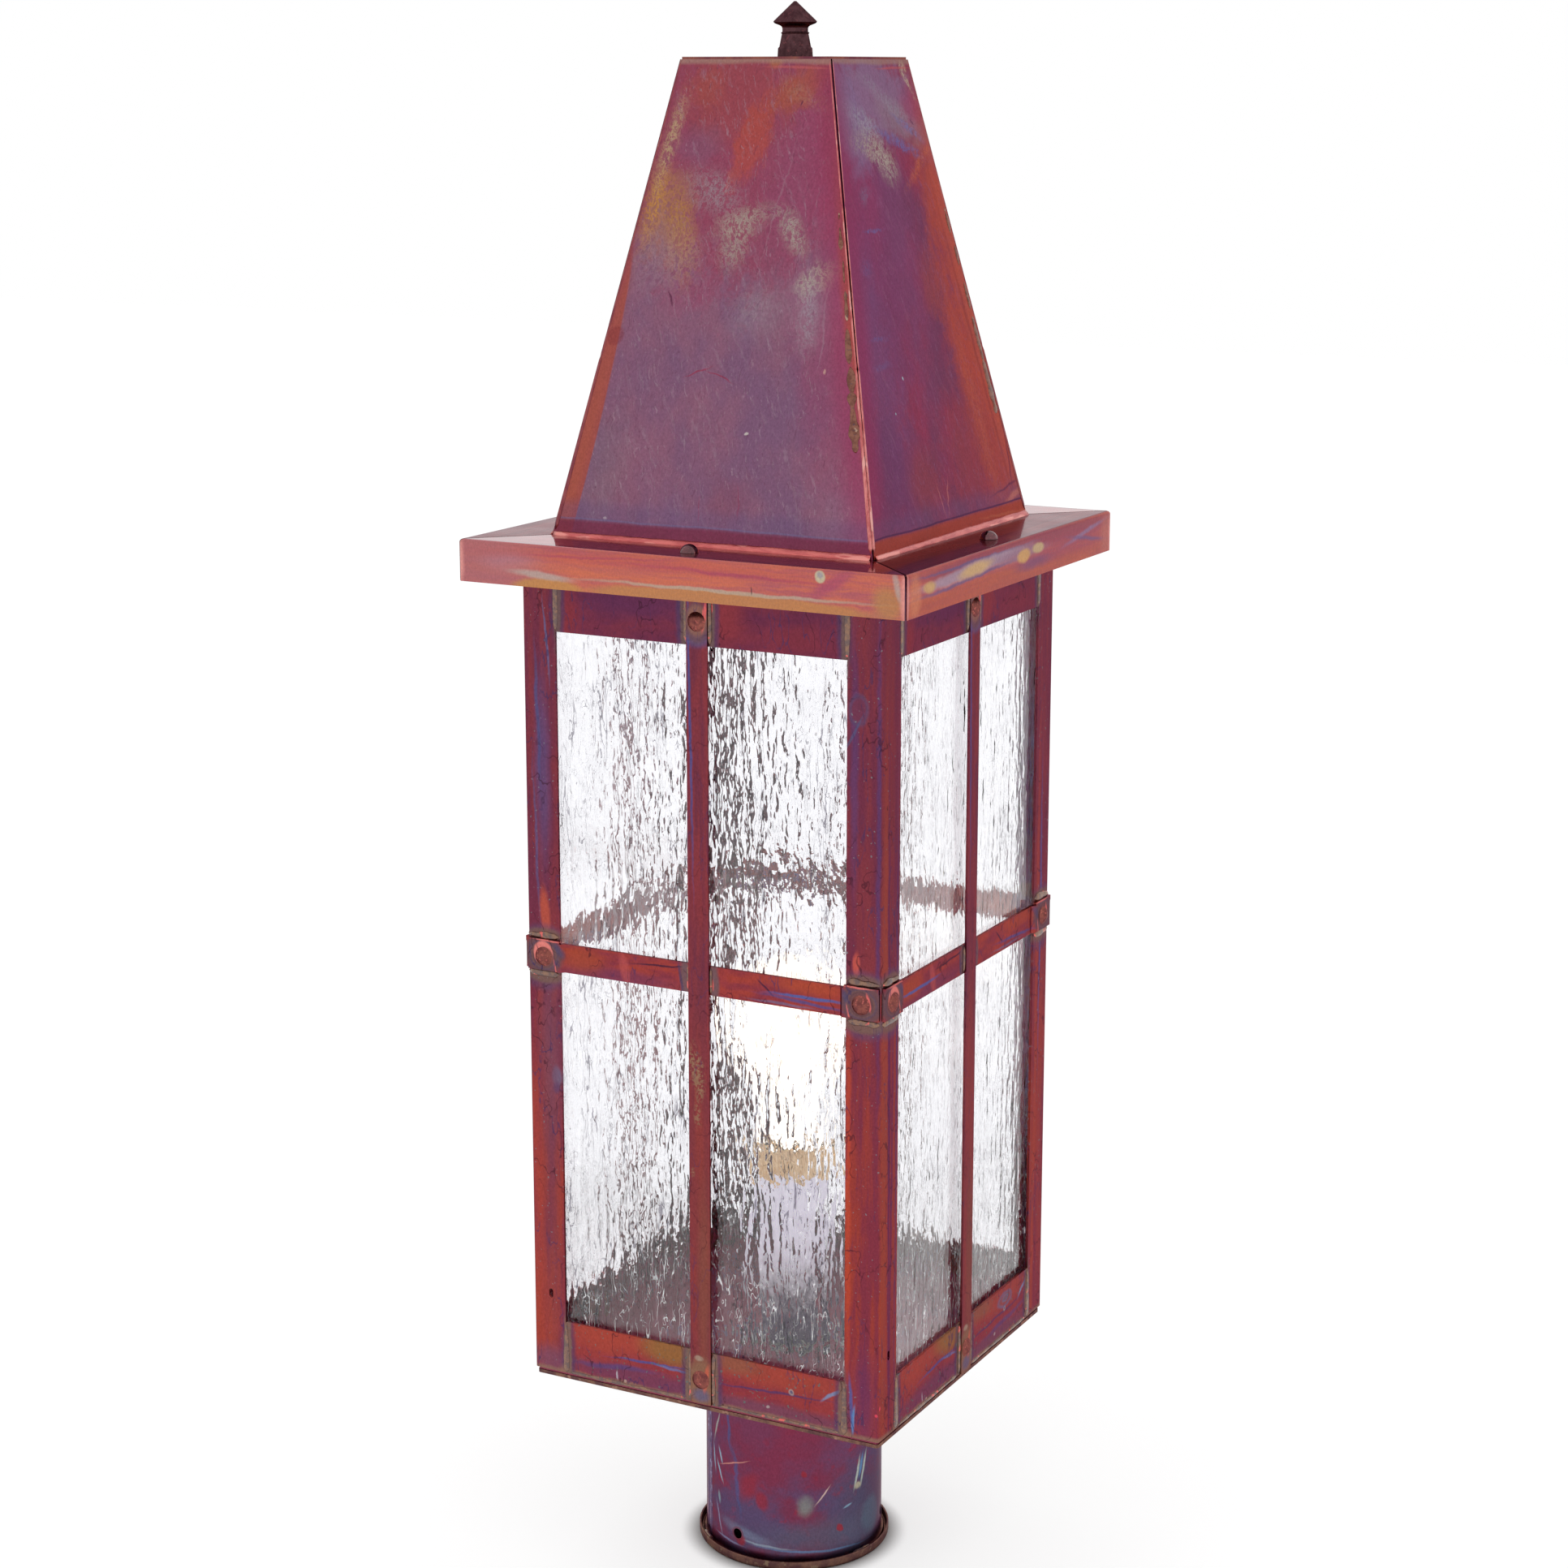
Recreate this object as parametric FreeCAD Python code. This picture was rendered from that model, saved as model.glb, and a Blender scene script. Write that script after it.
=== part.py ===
"""Post top lantern in sheet copper, with rain-glass panes and a lift-off roof.

Millimetres, +Z up. The origin is the centre of the foot ring's underside.
The front is -Y, the right side is +X.
"""
import FreeCAD, Part
import math
import os

V = FreeCAD.Vector
UP = V(0, 0, 1)
SIDES = ("front", "right", "back", "left")
CORNERS = ("front_right", "back_right", "back_left", "front_left")

# ---- driving dimensions: widths across the square ----
BODY_WIDTH = 172.0
SKIRT_WIDTH = 210.0
ROOF_BASE_WIDTH = 153.0
ROOF_TOP_WIDTH = 71.0

# ---- driving dimensions: heights above the foot ----
BODY_BOTTOM = 96.0
BOTTOM_RAIL_TOP = 120.2
STRAP_BOTTOM = 282.2
WINDOW_TOP = 432.3
FASCIA_BOTTOM = 454.2
SKIRT_TOP = 472.2
ROOF_TOP = 671.0
FINIAL_HEIGHT = 23.0

# ---- sheet and strip ----
FRAME_SHEET = 1.2
ROOF_SHEET = 1.0
POST_LEG = 16.4
MULLION_WIDTH = 10.0
MULLION_SHEET = 1.0
STRAP_HEIGHT = 12.7
STRAP_SHEET = 1.4
STRAP_END_RISE = 1.3      # the squared ends stand this much above the strap
STRAP_END_GAP = 0.6       # from the strap's end to the arris
SOLDER_GAP = 0.2          # between a rail's end and the post beside it
PANEL_GAP = 0.6           # open seam between two roof panels
SKIRT_GAP = 1.0           # open mitre between two skirt pieces
BEND = 1.5                # outer radius of a folded edge
CAP_CORNER = 2.0

# ---- fitter: slips over a 3 inch (76.2 mm) post ----
TUBE_BORE_R = 39.7
TUBE_WALL = 0.9
RING_R = 44.0
RING_HEIGHT = 4.6
RING_SHEET = 0.9
RING_LIP = 2.6
SET_HOLE_R = 2.4
SET_HOLE_Z = 12.4
SET_HOLE_TURN = -11.5     # degrees from the front towards the right
SET_HOLES = 3

# ---- base ----
PLATE_SHEET = 1.6
PLATE_DROP = 3.0          # the plate's underside below the body's lower edge
PLATE_INSET = 0.7
PAN_LIP_TOP = 104.5
WIRE_HOLE_HALF = 6.0       # half of the square hole in the plate and the pan
BASE_MITRE = 0.2           # gap between two strips of the plate or the pan

# ---- fasteners ----
RIVET_R = 1.6
RIVET_HEAD_R = 4.2
RIVET_HEAD_H = 1.8
STRAP_RIVET_X = 77.2
MULLION_RIVET_BOTTOM = 107.3
MULLION_RIVET_TOP = 442.5
SCREW_R = 2.0
SCREW_OUT = 92.5          # from the lantern's axis
SCREW_HEAD_R = 3.9
SCREW_HEAD_H = 3.4
SCREW_LENGTH = 12.0
SCREW_SLOT = 1.0
SCREW_HOLE_R = 2.25
SCREW_SEAT = 0.1          # head clear of the skirt
NUT_FLATS = 7.0
NUT_H = 3.2
THREAD_GAP = 0.05

# ---- weep slot in each post ----
WEEP_WIDTH = 2.0
WEEP_HEIGHT = 4.2
WEEP_FROM_ARRIS = 9.0
WEEP_Z = 132.4

# ---- glass ----
GLASS = 3.0
GLASS_HALF_WIDTH = 80.0
GLASS_BACK = 0.6          # from the rails' inner face to the pane
GLASS_BOTTOM = 106.5
GLASS_TOP = 462.0
CLIP_SHEET = 1.0
CLIP_WIDTH = 12.0
CLIP_X = 42.0
CLIP_LEG = 9.0
CLIP_GAP = 0.3

# ---- lamp ----
LAMP_FLANGE_R = 20.0
LAMP_FLANGE_H = 2.2
BOSS_R = 8.0
BOSS_H = 10.0
LAMP_RIVETS = 3
LAMP_RIVET_PCR = 11.6
LAMP_RIVET_R = 1.5
LAMP_RIVET_HEAD_R = 2.9
LAMP_RIVET_HEAD_H = 1.3
NIPPLE_R = 4.8
NIPPLE_BORE_R = 3.2
NIPPLE_BOTTOM = 97.0
NIPPLE_TOP = 150.0
SLEEVE_R = 15.9
SLEEVE_WALL = 0.9
COLLAR_BOTTOM = 175.9
COLLAR_TOP = 190.6
COLLAR_R = 16.4
SOCKET_R = 14.7
SOCKET_BOTTOM = 146.0
SOCKET_FLOOR = 156.0
SOCKET_TOP = 189.0
SHELL_SEAT = 159.5
SHELL_WALL = 0.5

# ---- bulb: medium screw cap, pear-shaped envelope ----
BULB_CAP_R = 13.05
BULB_CAP_BOTTOM = 168.0
BULB_CAP_TOP = 191.2
BULB_TIP_Z = 165.5
BULB_NECK_R = 12.5
BULB_R = 30.0
BULB_CENTRE_Z = 246.0
BULB_WALL = 0.8
BULB_SHOULDER = 35.0      # degrees below the widest place where the round ends
BULB_FIT = 0.1            # radial room in the screw shell
STEM_R = 2.4
STEM_TOP = 226.0
WIRE_REACH = 10.0
WIRE_Z = 244.0

# ---- finial ----
STUD_R = 2.5
STUD_BOTTOM = 655.0
STUD_IN_FINIAL = 14.0
FINIAL_BORE_GAP = 0.06
FINIAL_SEAT = 0.1
FINIAL_TURN = -21.0       # its arris points towards the front, not the corner
STUD_NUT_FLATS = 8.0
STUD_NUT_H = 5.0

# ---- worked out ----
HALF = BODY_WIDTH / 2
INNER = HALF - FRAME_SHEET
POST_EDGE = HALF - POST_LEG
RAIL_HALF = POST_EDGE - SOLDER_GAP
ROOF_SEAT = 0.2
RAIL_TOP = SKIRT_TOP - ROOF_SHEET - ROOF_SEAT
RAIL_FLANGE = SCREW_OUT + 8.5
STRAP_TOP = STRAP_BOTTOM + STRAP_HEIGHT
STRAP_MID = (STRAP_BOTTOM + STRAP_TOP) / 2
PLATE_BOTTOM = BODY_BOTTOM - PLATE_DROP
PLATE_TOP = PLATE_BOTTOM + PLATE_SHEET
FLOOR = PLATE_TOP + FRAME_SHEET
TUBE_R = TUBE_BORE_R + TUBE_WALL
GLASS_OUT = INNER - GLASS_BACK
GLASS_IN = GLASS_OUT - GLASS
SKIRT_HALF = SKIRT_WIDTH / 2
SKIRT_INNER = ROOF_BASE_WIDTH / 2 - 6.0
ROOF_LEAN = (ROOF_BASE_WIDTH - ROOF_TOP_WIDTH) / 2 / (ROOF_TOP - SKIRT_TOP)
SHELL_R = BULB_CAP_R + BULB_FIT
LONG = 400.0              # longer than the lantern is wide, for cutting wedges


# ---- small tools ----
def box(x0, x1, y0, y1, z0, z1):
    return Part.makeBox(x1 - x0, y1 - y0, z1 - z0, V(x0, y0, z0))


def rod(radius, base, length, direction=UP):
    return Part.makeCylinder(radius, length, base, direction)


def hexagon(flats, height, z):
    """A hexagonal prism about the Z axis, with its flats facing +-X."""
    reach = flats / math.sqrt(3)
    turns = [math.radians(30 + 60 * i) for i in range(7)]
    ring = [V(reach * math.cos(t), reach * math.sin(t), z) for t in turns]
    return Part.Face(Part.makePolygon(ring)).extrude(UP * height)


def outline(corners, place):
    """A closed wire through (a, b) or (a, b, radius) corners; place maps (a, b) to a point."""
    edges = []
    starts = []
    ends = []
    count = len(corners)
    for i, corner in enumerate(corners):
        here = V(corner[0], corner[1], 0)
        radius = corner[2] if len(corner) > 2 else 0
        if not radius:
            starts.append(here)
            ends.append(here)
            edges.append(None)
            continue
        before = V(*corners[i - 1][:2], 0)
        after = V(*corners[(i + 1) % count][:2], 0)
        to_before = (before - here).normalize()
        to_after = (after - here).normalize()
        half = to_before.getAngle(to_after) / 2
        cut = radius / math.tan(half)
        middle = (to_before + to_after).normalize()
        centre = here + middle * (radius / math.sin(half))
        starts.append(here + to_before * cut)
        ends.append(here + to_after * cut)
        edges.append(centre - middle * radius)
    made = []
    for i in range(count):
        if edges[i] is not None:
            arc = [place(p.x, p.y) for p in (starts[i], edges[i], ends[i])]
            made.append(Part.Arc(*arc).toShape())
        a = place(ends[i].x, ends[i].y)
        following = starts[(i + 1) % count]
        b = place(following.x, following.y)
        if (b - a).Length > 1e-6:
            made.append(Part.makeLine(a, b))
    return Part.Wire(made)


def upright(corners, z0, z1):
    """An (x, y) outline extruded upwards."""
    wire = outline(corners, lambda x, y: V(x, y, z0))
    return Part.Face(wire).extrude(UP * (z1 - z0))


def along_x(corners, x0, x1):
    """A (y, z) outline extruded along X."""
    wire = outline(corners, lambda y, z: V(x0, y, z))
    return Part.Face(wire).extrude(V(x1 - x0, 0, 0))


def turned(corners):
    """An (r, z) outline turned round the Z axis."""
    wire = outline(corners, lambda r, z: V(r, 0, z))
    return Part.Face(wire).revolve(V(0, 0, 0), UP, 360)


def quarter(shape, turns):
    """A copy turned by quarter turns about the Z axis, from front to right and on."""
    copy = shape.copy()
    copy.rotate(V(0, 0, 0), UP, 90 * turns)
    return copy


def wedge(gap, z0, z1):
    """The quarter of space in front of the two diagonals, less half a gap on each side."""
    back = gap / math.sqrt(2)
    points = [(0, -back), (-LONG, -LONG - back), (LONG, -LONG - back)]
    return upright(points, z0, z1)


def facing_front(shape, x, y, z):
    """A piece made about +Z, laid so that +Z points to the front, with its origin at x, y, z."""
    copy = shape.copy()
    copy.rotate(V(0, 0, 0), V(1, 0, 0), 90)
    copy.translate(V(x, y, z))
    return copy


def dome(radius, height):
    """A low dome standing on Z = 0."""
    ball_r = (radius ** 2 + height ** 2) / (2 * height)
    middle = V(ball_r * math.sin(0.5 * math.asin(radius / ball_r)), 0, 0)
    middle.z = height - ball_r + math.sqrt(ball_r ** 2 - middle.x ** 2)
    top = V(0, 0, height)
    rim = V(radius, 0, 0)
    edges = [
        Part.Arc(top, middle, rim).toShape(),
        Part.makeLine(rim, V(0, 0, 0)),
        Part.makeLine(V(0, 0, 0), top),
    ]
    return Part.Face(Part.Wire(edges)).revolve(V(0, 0, 0), UP, 360)


def save(name, shape):
    """Writes one node; a list is a group of separate solids."""
    if isinstance(shape, list):
        shape = Part.makeCompound(shape)
    for solid in shape.Solids:
        if not solid.isValid():
            raise ValueError(name + " is not a valid solid")
    if not shape.Solids:
        raise ValueError(name + " has no solid")
    shape.exportStep("parts/" + name + ".step")
    print(name, len(shape.Solids), round(shape.Volume, 1))


def save_sides(name, shape, names=SIDES):
    for turns, side in enumerate(names):
        save(name + "_" + side, quarter(shape, turns))


# ---- foot ----
def set_hole_direction(number):
    turn = math.radians(SET_HOLE_TURN + 360 / SET_HOLES * number)
    return V(math.sin(turn), -math.cos(turn), 0)


def fitter_tube():
    corners = [(TUBE_BORE_R, 0), (TUBE_R, 0), (TUBE_R, PLATE_BOTTOM), (TUBE_BORE_R, PLATE_BOTTOM)]
    tube = turned(corners)
    for number in range(SET_HOLES):
        way = set_hole_direction(number)
        tube = tube.cut(rod(SET_HOLE_R, way * 20 + UP * SET_HOLE_Z, TUBE_R, way))
    return tube


def fitter_ring():
    """A gutter with a short lip against the tube and a taller outer rim."""
    lip_r = TUBE_R + RING_SHEET
    rim_r = RING_R - RING_SHEET
    corners = [
        (TUBE_R, 0),
        (RING_R, 0, BEND),
        (RING_R, RING_HEIGHT, 0.3),
        (rim_r, RING_HEIGHT, 0.3),
        (rim_r, RING_SHEET, 0.5),
        (lip_r, RING_SHEET, 0.5),
        (lip_r, RING_LIP),
        (TUBE_R, RING_LIP),
    ]
    return turned(corners)


# ---- base ----
def lamp_rivet_place(number):
    turn = math.radians(90 + 360 / LAMP_RIVETS * number)
    return V(LAMP_RIVET_PCR * math.cos(turn), LAMP_RIVET_PCR * math.sin(turn), 0)


def with_lamp_rivet_holes(shape, z0, z1):
    for number in range(LAMP_RIVETS):
        shape = shape.cut(rod(LAMP_RIVET_R, lamp_rivet_place(number) + UP * z0, z1 - z0))
    return shape


def with_wire_hole(shape, z0, z1):
    hole = WIRE_HOLE_HALF
    return shape.cut(box(-hole, hole, -hole, hole, z0, z1))


def mitred(shape, z0, z1):
    """The shape in four quarters, parted along the diagonals."""
    strip = wedge(BASE_MITRE, z0, z1)
    return [shape.common(quarter(strip, turns)) for turns in range(4)]


def base_plate():
    """Four mitred strips round a square wire hole."""
    edge = HALF - PLATE_INSET
    corners = [(-edge, -edge, BEND), (edge, -edge, BEND), (edge, edge, BEND), (-edge, edge, BEND)]
    plate = upright(corners, PLATE_BOTTOM, PLATE_TOP)
    plate = with_wire_hole(plate, PLATE_BOTTOM, PLATE_TOP)
    plate = with_lamp_rivet_holes(plate, PLATE_BOTTOM, PLATE_TOP)
    return mitred(plate, PLATE_BOTTOM, PLATE_TOP)


def base_pan():
    """Four mitred pieces, each a strip with an upturned lip, round a square wire hole."""
    edge = INNER - 0.1
    room = edge - FRAME_SHEET
    pan = box(-edge, edge, -edge, edge, PLATE_TOP, PAN_LIP_TOP)
    pan = pan.cut(box(-room, room, -room, room, FLOOR, PAN_LIP_TOP))
    pan = with_wire_hole(pan, PLATE_TOP, FLOOR)
    pan = with_lamp_rivet_holes(pan, PLATE_TOP, FLOOR)
    return mitred(pan, PLATE_TOP, PAN_LIP_TOP)


# ---- body frame ----
def rivet_hole(x, z):
    """The hole of a front rivet, through everything at the front."""
    return rod(RIVET_R, V(x, -HALF - 10, z), 20, V(0, 1, 0))


def corner_post():
    """The front right post: an L with its arris on the corner."""
    corners = [
        (POST_EDGE, -HALF),
        (HALF, -HALF, BEND),
        (HALF, -POST_EDGE),
        (INNER, -POST_EDGE),
        (INNER, -INNER, BEND - FRAME_SHEET),
        (POST_EDGE, -INNER),
    ]
    post = upright(corners, BODY_BOTTOM, RAIL_TOP)
    post = post.cut(rivet_hole(STRAP_RIVET_X, STRAP_MID))
    post = post.cut(quarter(rivet_hole(-STRAP_RIVET_X, STRAP_MID), 1))
    return post.cut(weep_slot())


def weep_slot():
    """A small upright slot in the post's right leg."""
    y = -HALF + WEEP_FROM_ARRIS
    reach = (WEEP_HEIGHT - WEEP_WIDTH) / 2
    half = WEEP_WIDTH / 2
    slot = box(INNER - 1, HALF + 1, y - half, y + half, WEEP_Z - reach, WEEP_Z + reach)
    for z in (WEEP_Z - reach, WEEP_Z + reach):
        slot = slot.fuse(rod(half, V(INNER - 1, y, z), FRAME_SHEET + 2, V(1, 0, 0)))
    return slot


def top_rail():
    """A web with an outward flange on top, which carries the roof."""
    under = RAIL_TOP - FRAME_SHEET
    corners = [
        (-INNER, WINDOW_TOP),
        (-INNER, RAIL_TOP, BEND),
        (-RAIL_FLANGE, RAIL_TOP),
        (-RAIL_FLANGE, under),
        (-HALF, under, BEND - FRAME_SHEET),
        (-HALF, WINDOW_TOP),
    ]
    rail = along_x(corners, -RAIL_HALF, RAIL_HALF)
    rail = rail.cut(rivet_hole(0, MULLION_RIVET_TOP))
    return rail.cut(rod(SCREW_HOLE_R, V(0, -SCREW_OUT, under - 1), FRAME_SHEET + 2))


def bottom_rail():
    rail = box(-RAIL_HALF, RAIL_HALF, -HALF, -INNER, BODY_BOTTOM, BOTTOM_RAIL_TOP)
    return rail.cut(rivet_hole(0, MULLION_RIVET_BOTTOM))


def mullion():
    half = MULLION_WIDTH / 2
    top = RAIL_TOP - FRAME_SHEET - NUT_H
    strip = box(-half, half, -HALF - MULLION_SHEET, -HALF, BODY_BOTTOM + 0.2, top)
    strip = strip.cut(rivet_hole(0, MULLION_RIVET_BOTTOM))
    return strip.cut(rivet_hole(0, MULLION_RIVET_TOP))


def strap():
    """Flush with the rails between the posts, stepped out over the posts at its ends."""
    end = HALF - STRAP_END_GAP
    step = POST_EDGE - SOLDER_GAP
    out = HALF + STRAP_SHEET
    back = HALF - STRAP_SHEET
    level = [
        (-end, -out, 0.5),
        (-step + 1, -out),
        (-step + 1 + STRAP_SHEET, -HALF),
        (step - 1 - STRAP_SHEET, -HALF),
        (step - 1, -out),
        (end, -out, 0.5),
        (end, -HALF),
        (step, -HALF),
        (step - STRAP_SHEET, -back),
        (-step + STRAP_SHEET, -back),
        (-step, -HALF),
        (-end, -HALF),
    ]
    strip = upright(level, STRAP_BOTTOM, STRAP_TOP)
    for x0, x1 in ((-end, -POST_EDGE + 0.4), (POST_EDGE - 0.4, end)):
        strip = strip.fuse(box(x0, x1, -out, -HALF, STRAP_TOP - 1, STRAP_TOP + STRAP_END_RISE))
    strip = strip.removeSplitter()
    for x in (-STRAP_RIVET_X, STRAP_RIVET_X):
        strip = strip.cut(rivet_hole(x, STRAP_MID))
    return strip


def rivet(grip):
    """A domed rivet about +Z, its head standing on Z = 0 and its shank set flush below."""
    return dome(RIVET_HEAD_R, RIVET_HEAD_H).fuse(rod(RIVET_R, UP * -grip, grip)).removeSplitter()


def mullion_rivets():
    one = rivet(MULLION_SHEET + FRAME_SHEET)
    made = []
    for turns in range(4):
        for z in (MULLION_RIVET_BOTTOM, MULLION_RIVET_TOP):
            made.append(quarter(facing_front(one, 0, -HALF - MULLION_SHEET, z), turns))
    return made


def strap_rivets():
    one = rivet(STRAP_SHEET + FRAME_SHEET)
    made = []
    for turns in range(4):
        for x in (-STRAP_RIVET_X, STRAP_RIVET_X):
            made.append(quarter(facing_front(one, x, -HALF - STRAP_SHEET, STRAP_MID), turns))
    return made


def glass_pane():
    return box(-GLASS_HALF_WIDTH, GLASS_HALF_WIDTH, -GLASS_OUT, -GLASS_IN, GLASS_BOTTOM, GLASS_TOP)


def glass_clip():
    """An angle that carries the pane's lower edge and stops it inwards."""
    seat = GLASS_BOTTOM - CLIP_GAP
    stop = GLASS_IN - CLIP_GAP
    corners = [
        (-INNER, seat),
        (-stop, seat),
        (-stop, seat + CLIP_LEG),
        (-stop + CLIP_SHEET, seat + CLIP_LEG),
        (-stop + CLIP_SHEET, seat - CLIP_SHEET),
        (-INNER, seat - CLIP_SHEET),
    ]
    return along_x(corners, -CLIP_WIDTH / 2, CLIP_WIDTH / 2)


def glass_clips():
    """Two angles below each pane, and the same two turned over above it."""
    lower = glass_clip()
    middle = (GLASS_BOTTOM + GLASS_TOP) / 2
    upper = lower.mirror(V(0, 0, middle), UP)
    made = []
    for turns in range(4):
        for clip in (lower, upper):
            for x in (-CLIP_X, CLIP_X):
                moved = clip.copy()
                moved.translate(V(x, 0, 0))
                made.append(quarter(moved, turns))
    return made


def screw_nuts():
    z = RAIL_TOP - FRAME_SHEET - NUT_H
    nut = hexagon(NUT_FLATS, NUT_H, z)
    nut = nut.cut(rod(SCREW_R + THREAD_GAP, UP * z, NUT_H))
    nut.translate(V(0, -SCREW_OUT, 0))
    return [quarter(nut, turns) for turns in range(4)]


# ---- lamp ----
def lamp_flange():
    bore = NIPPLE_R + THREAD_GAP
    top = FLOOR + LAMP_FLANGE_H
    corners = [
        (bore, FLOOR),
        (LAMP_FLANGE_R, FLOOR),
        (LAMP_FLANGE_R, top, 1.0),
        (BOSS_R, top, 1.0),
        (BOSS_R, FLOOR + BOSS_H, 0.8),
        (bore, FLOOR + BOSS_H),
    ]
    flange = turned(corners)
    for number in range(LAMP_RIVETS):
        flange = flange.cut(rod(LAMP_RIVET_R, lamp_rivet_place(number) + UP * FLOOR, LAMP_FLANGE_H))
    return flange


def flange_rivets():
    top = FLOOR + LAMP_FLANGE_H
    grip = top - PLATE_BOTTOM
    made = []
    for number in range(LAMP_RIVETS):
        one = dome(LAMP_RIVET_HEAD_R, LAMP_RIVET_HEAD_H)
        one = one.fuse(rod(LAMP_RIVET_R, UP * -grip, grip)).removeSplitter()
        one.translate(lamp_rivet_place(number) + UP * top)
        made.append(one)
    return made


def lamp_nipple():
    corners = [
        (NIPPLE_BORE_R, NIPPLE_BOTTOM),
        (NIPPLE_R, NIPPLE_BOTTOM),
        (NIPPLE_R, NIPPLE_TOP),
        (NIPPLE_BORE_R, NIPPLE_TOP),
    ]
    return turned(corners)


def socket_body():
    """A cup of moulded insulator, screwed on the nipple, with a ledge for the screw shell."""
    room = SHELL_R + SHELL_WALL + THREAD_GAP
    corners = [
        (NIPPLE_R + THREAD_GAP, SOCKET_BOTTOM),
        (SOCKET_R, SOCKET_BOTTOM, 1.5),
        (SOCKET_R, SOCKET_TOP),
        (room, SOCKET_TOP),
        (room, SHELL_SEAT),
        (room - 2, SHELL_SEAT),
        (room - 2, SOCKET_FLOOR),
        (NIPPLE_R + THREAD_GAP, SOCKET_FLOOR),
    ]
    return turned(corners)


def screw_shell():
    lip = SHELL_R - 2
    corners = [
        (SHELL_R, SHELL_SEAT + SHELL_WALL),
        (SHELL_R, SOCKET_TOP + 0.2),
        (SHELL_R + SHELL_WALL, SOCKET_TOP + 0.2),
        (SHELL_R + SHELL_WALL, SHELL_SEAT),
        (lip, SHELL_SEAT),
        (lip, SHELL_SEAT + SHELL_WALL),
    ]
    return turned(corners)


def centre_contact():
    """A button on a washer, over the hole where the wires come up."""
    top = BULB_TIP_Z - BULB_FIT
    corners = [
        (0, SOCKET_FLOOR),
        (6.5, SOCKET_FLOOR),
        (6.5, SOCKET_FLOOR + 0.8),
        (2.6, SOCKET_FLOOR + 0.8),
        (2.6, top, 0.6),
        (0, top),
    ]
    return turned(corners)


def candle_sleeve():
    bottom = FLOOR + LAMP_FLANGE_H
    inner = SLEEVE_R - SLEEVE_WALL
    corners = [(inner, bottom), (SLEEVE_R, bottom), (SLEEVE_R, COLLAR_BOTTOM), (inner, COLLAR_BOTTOM)]
    return turned(corners)


def socket_collar():
    """A brass ring on top of the sleeve, round the socket."""
    inner = SOCKET_R + THREAD_GAP
    corners = [
        (inner, COLLAR_BOTTOM),
        (COLLAR_R, COLLAR_BOTTOM, 0.4),
        (COLLAR_R, COLLAR_BOTTOM + 2.0, 0.4),
        (COLLAR_R - 0.5, COLLAR_BOTTOM + 2.6),
        (COLLAR_R - 0.5, COLLAR_TOP - 2.6),
        (COLLAR_R, COLLAR_TOP - 2.0, 0.4),
        (COLLAR_R, COLLAR_TOP, 0.6),
        (inner, COLLAR_TOP, 0.4),
    ]
    return turned(corners)


# ---- bulb ----
def bulb_solid(inset):
    """The envelope's outside, or its inside when inset: a ball, a cone and a straight neck."""
    radius = BULB_R - inset
    neck = BULB_NECK_R - inset
    down = math.radians(BULB_SHOULDER)
    top = V(0, 0, BULB_CENTRE_Z + radius)
    side = V(radius, 0, BULB_CENTRE_Z)
    shoulder = V(radius * math.cos(down), 0, BULB_CENTRE_Z - radius * math.sin(down))
    run = (shoulder.x - neck) / math.sin(down)
    corner_z = shoulder.z - run * math.cos(down)
    turn_r = 22.0
    cut = turn_r * math.tan(down / 2)
    cone_end = V(neck + cut * math.sin(down), 0, corner_z + cut * math.cos(down))
    neck_top = V(neck, 0, corner_z - cut)
    centre = V(neck + turn_r, 0, neck_top.z)
    half = down / 2
    middle = centre + V(-turn_r * math.cos(half), 0, turn_r * math.sin(half))
    foot_z = BULB_CAP_BOTTOM + 8.0 + inset
    neck_foot = V(neck, 0, foot_z)
    edges = [
        Part.Arc(top, side, shoulder).toShape(),
        Part.makeLine(shoulder, cone_end),
        Part.Arc(cone_end, middle, neck_top).toShape(),
        Part.makeLine(neck_top, neck_foot),
        Part.makeLine(neck_foot, V(0, 0, foot_z)),
        Part.makeLine(V(0, 0, foot_z), top),
    ]
    return Part.Face(Part.Wire(edges)).revolve(V(0, 0, 0), UP, 360)


def bulb_envelope():
    return bulb_solid(0).cut(bulb_solid(BULB_WALL))


def bulb_cap():
    """A screw shell closed below by its insulator and tip."""
    inner = BULB_NECK_R + THREAD_GAP
    corners = [
        (0, BULB_TIP_Z),
        (4.5, BULB_TIP_Z, 0.5),
        (5.0, BULB_TIP_Z + 1.2),
        (BULB_CAP_R - 1.5, BULB_CAP_BOTTOM + 0.6, 0.8),
        (BULB_CAP_R, BULB_CAP_BOTTOM + 2.4, 0.8),
        (BULB_CAP_R, BULB_CAP_TOP),
        (inner, BULB_CAP_TOP),
        (inner, BULB_CAP_BOTTOM + 4.0),
        (0, BULB_CAP_BOTTOM + 4.0),
    ]
    return turned(corners)


def bulb_stem():
    """The glass stem inside the envelope, standing on the neck's floor."""
    foot = BULB_CAP_BOTTOM + 8.0 + BULB_WALL
    corners = [
        (0, foot),
        (6.0, foot, 0.5),
        (STEM_R, foot + 16),
        (STEM_R, STEM_TOP),
        (0, STEM_TOP),
    ]
    return turned(corners)


def bulb_filament():
    """Two leads spread from the stem's tip, with the wire strung between them."""
    wires = rod(0.6, V(-WIRE_REACH, 0, WIRE_Z), 2 * WIRE_REACH, V(1, 0, 0))
    for side in (-1, 1):
        foot = V(side * 1.4, 0, STEM_TOP)
        tip = V(side * WIRE_REACH, 0, WIRE_Z)
        wires = wires.fuse(rod(0.4, foot, (tip - foot).Length, tip - foot))
    return wires.cut(bulb_stem())


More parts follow.
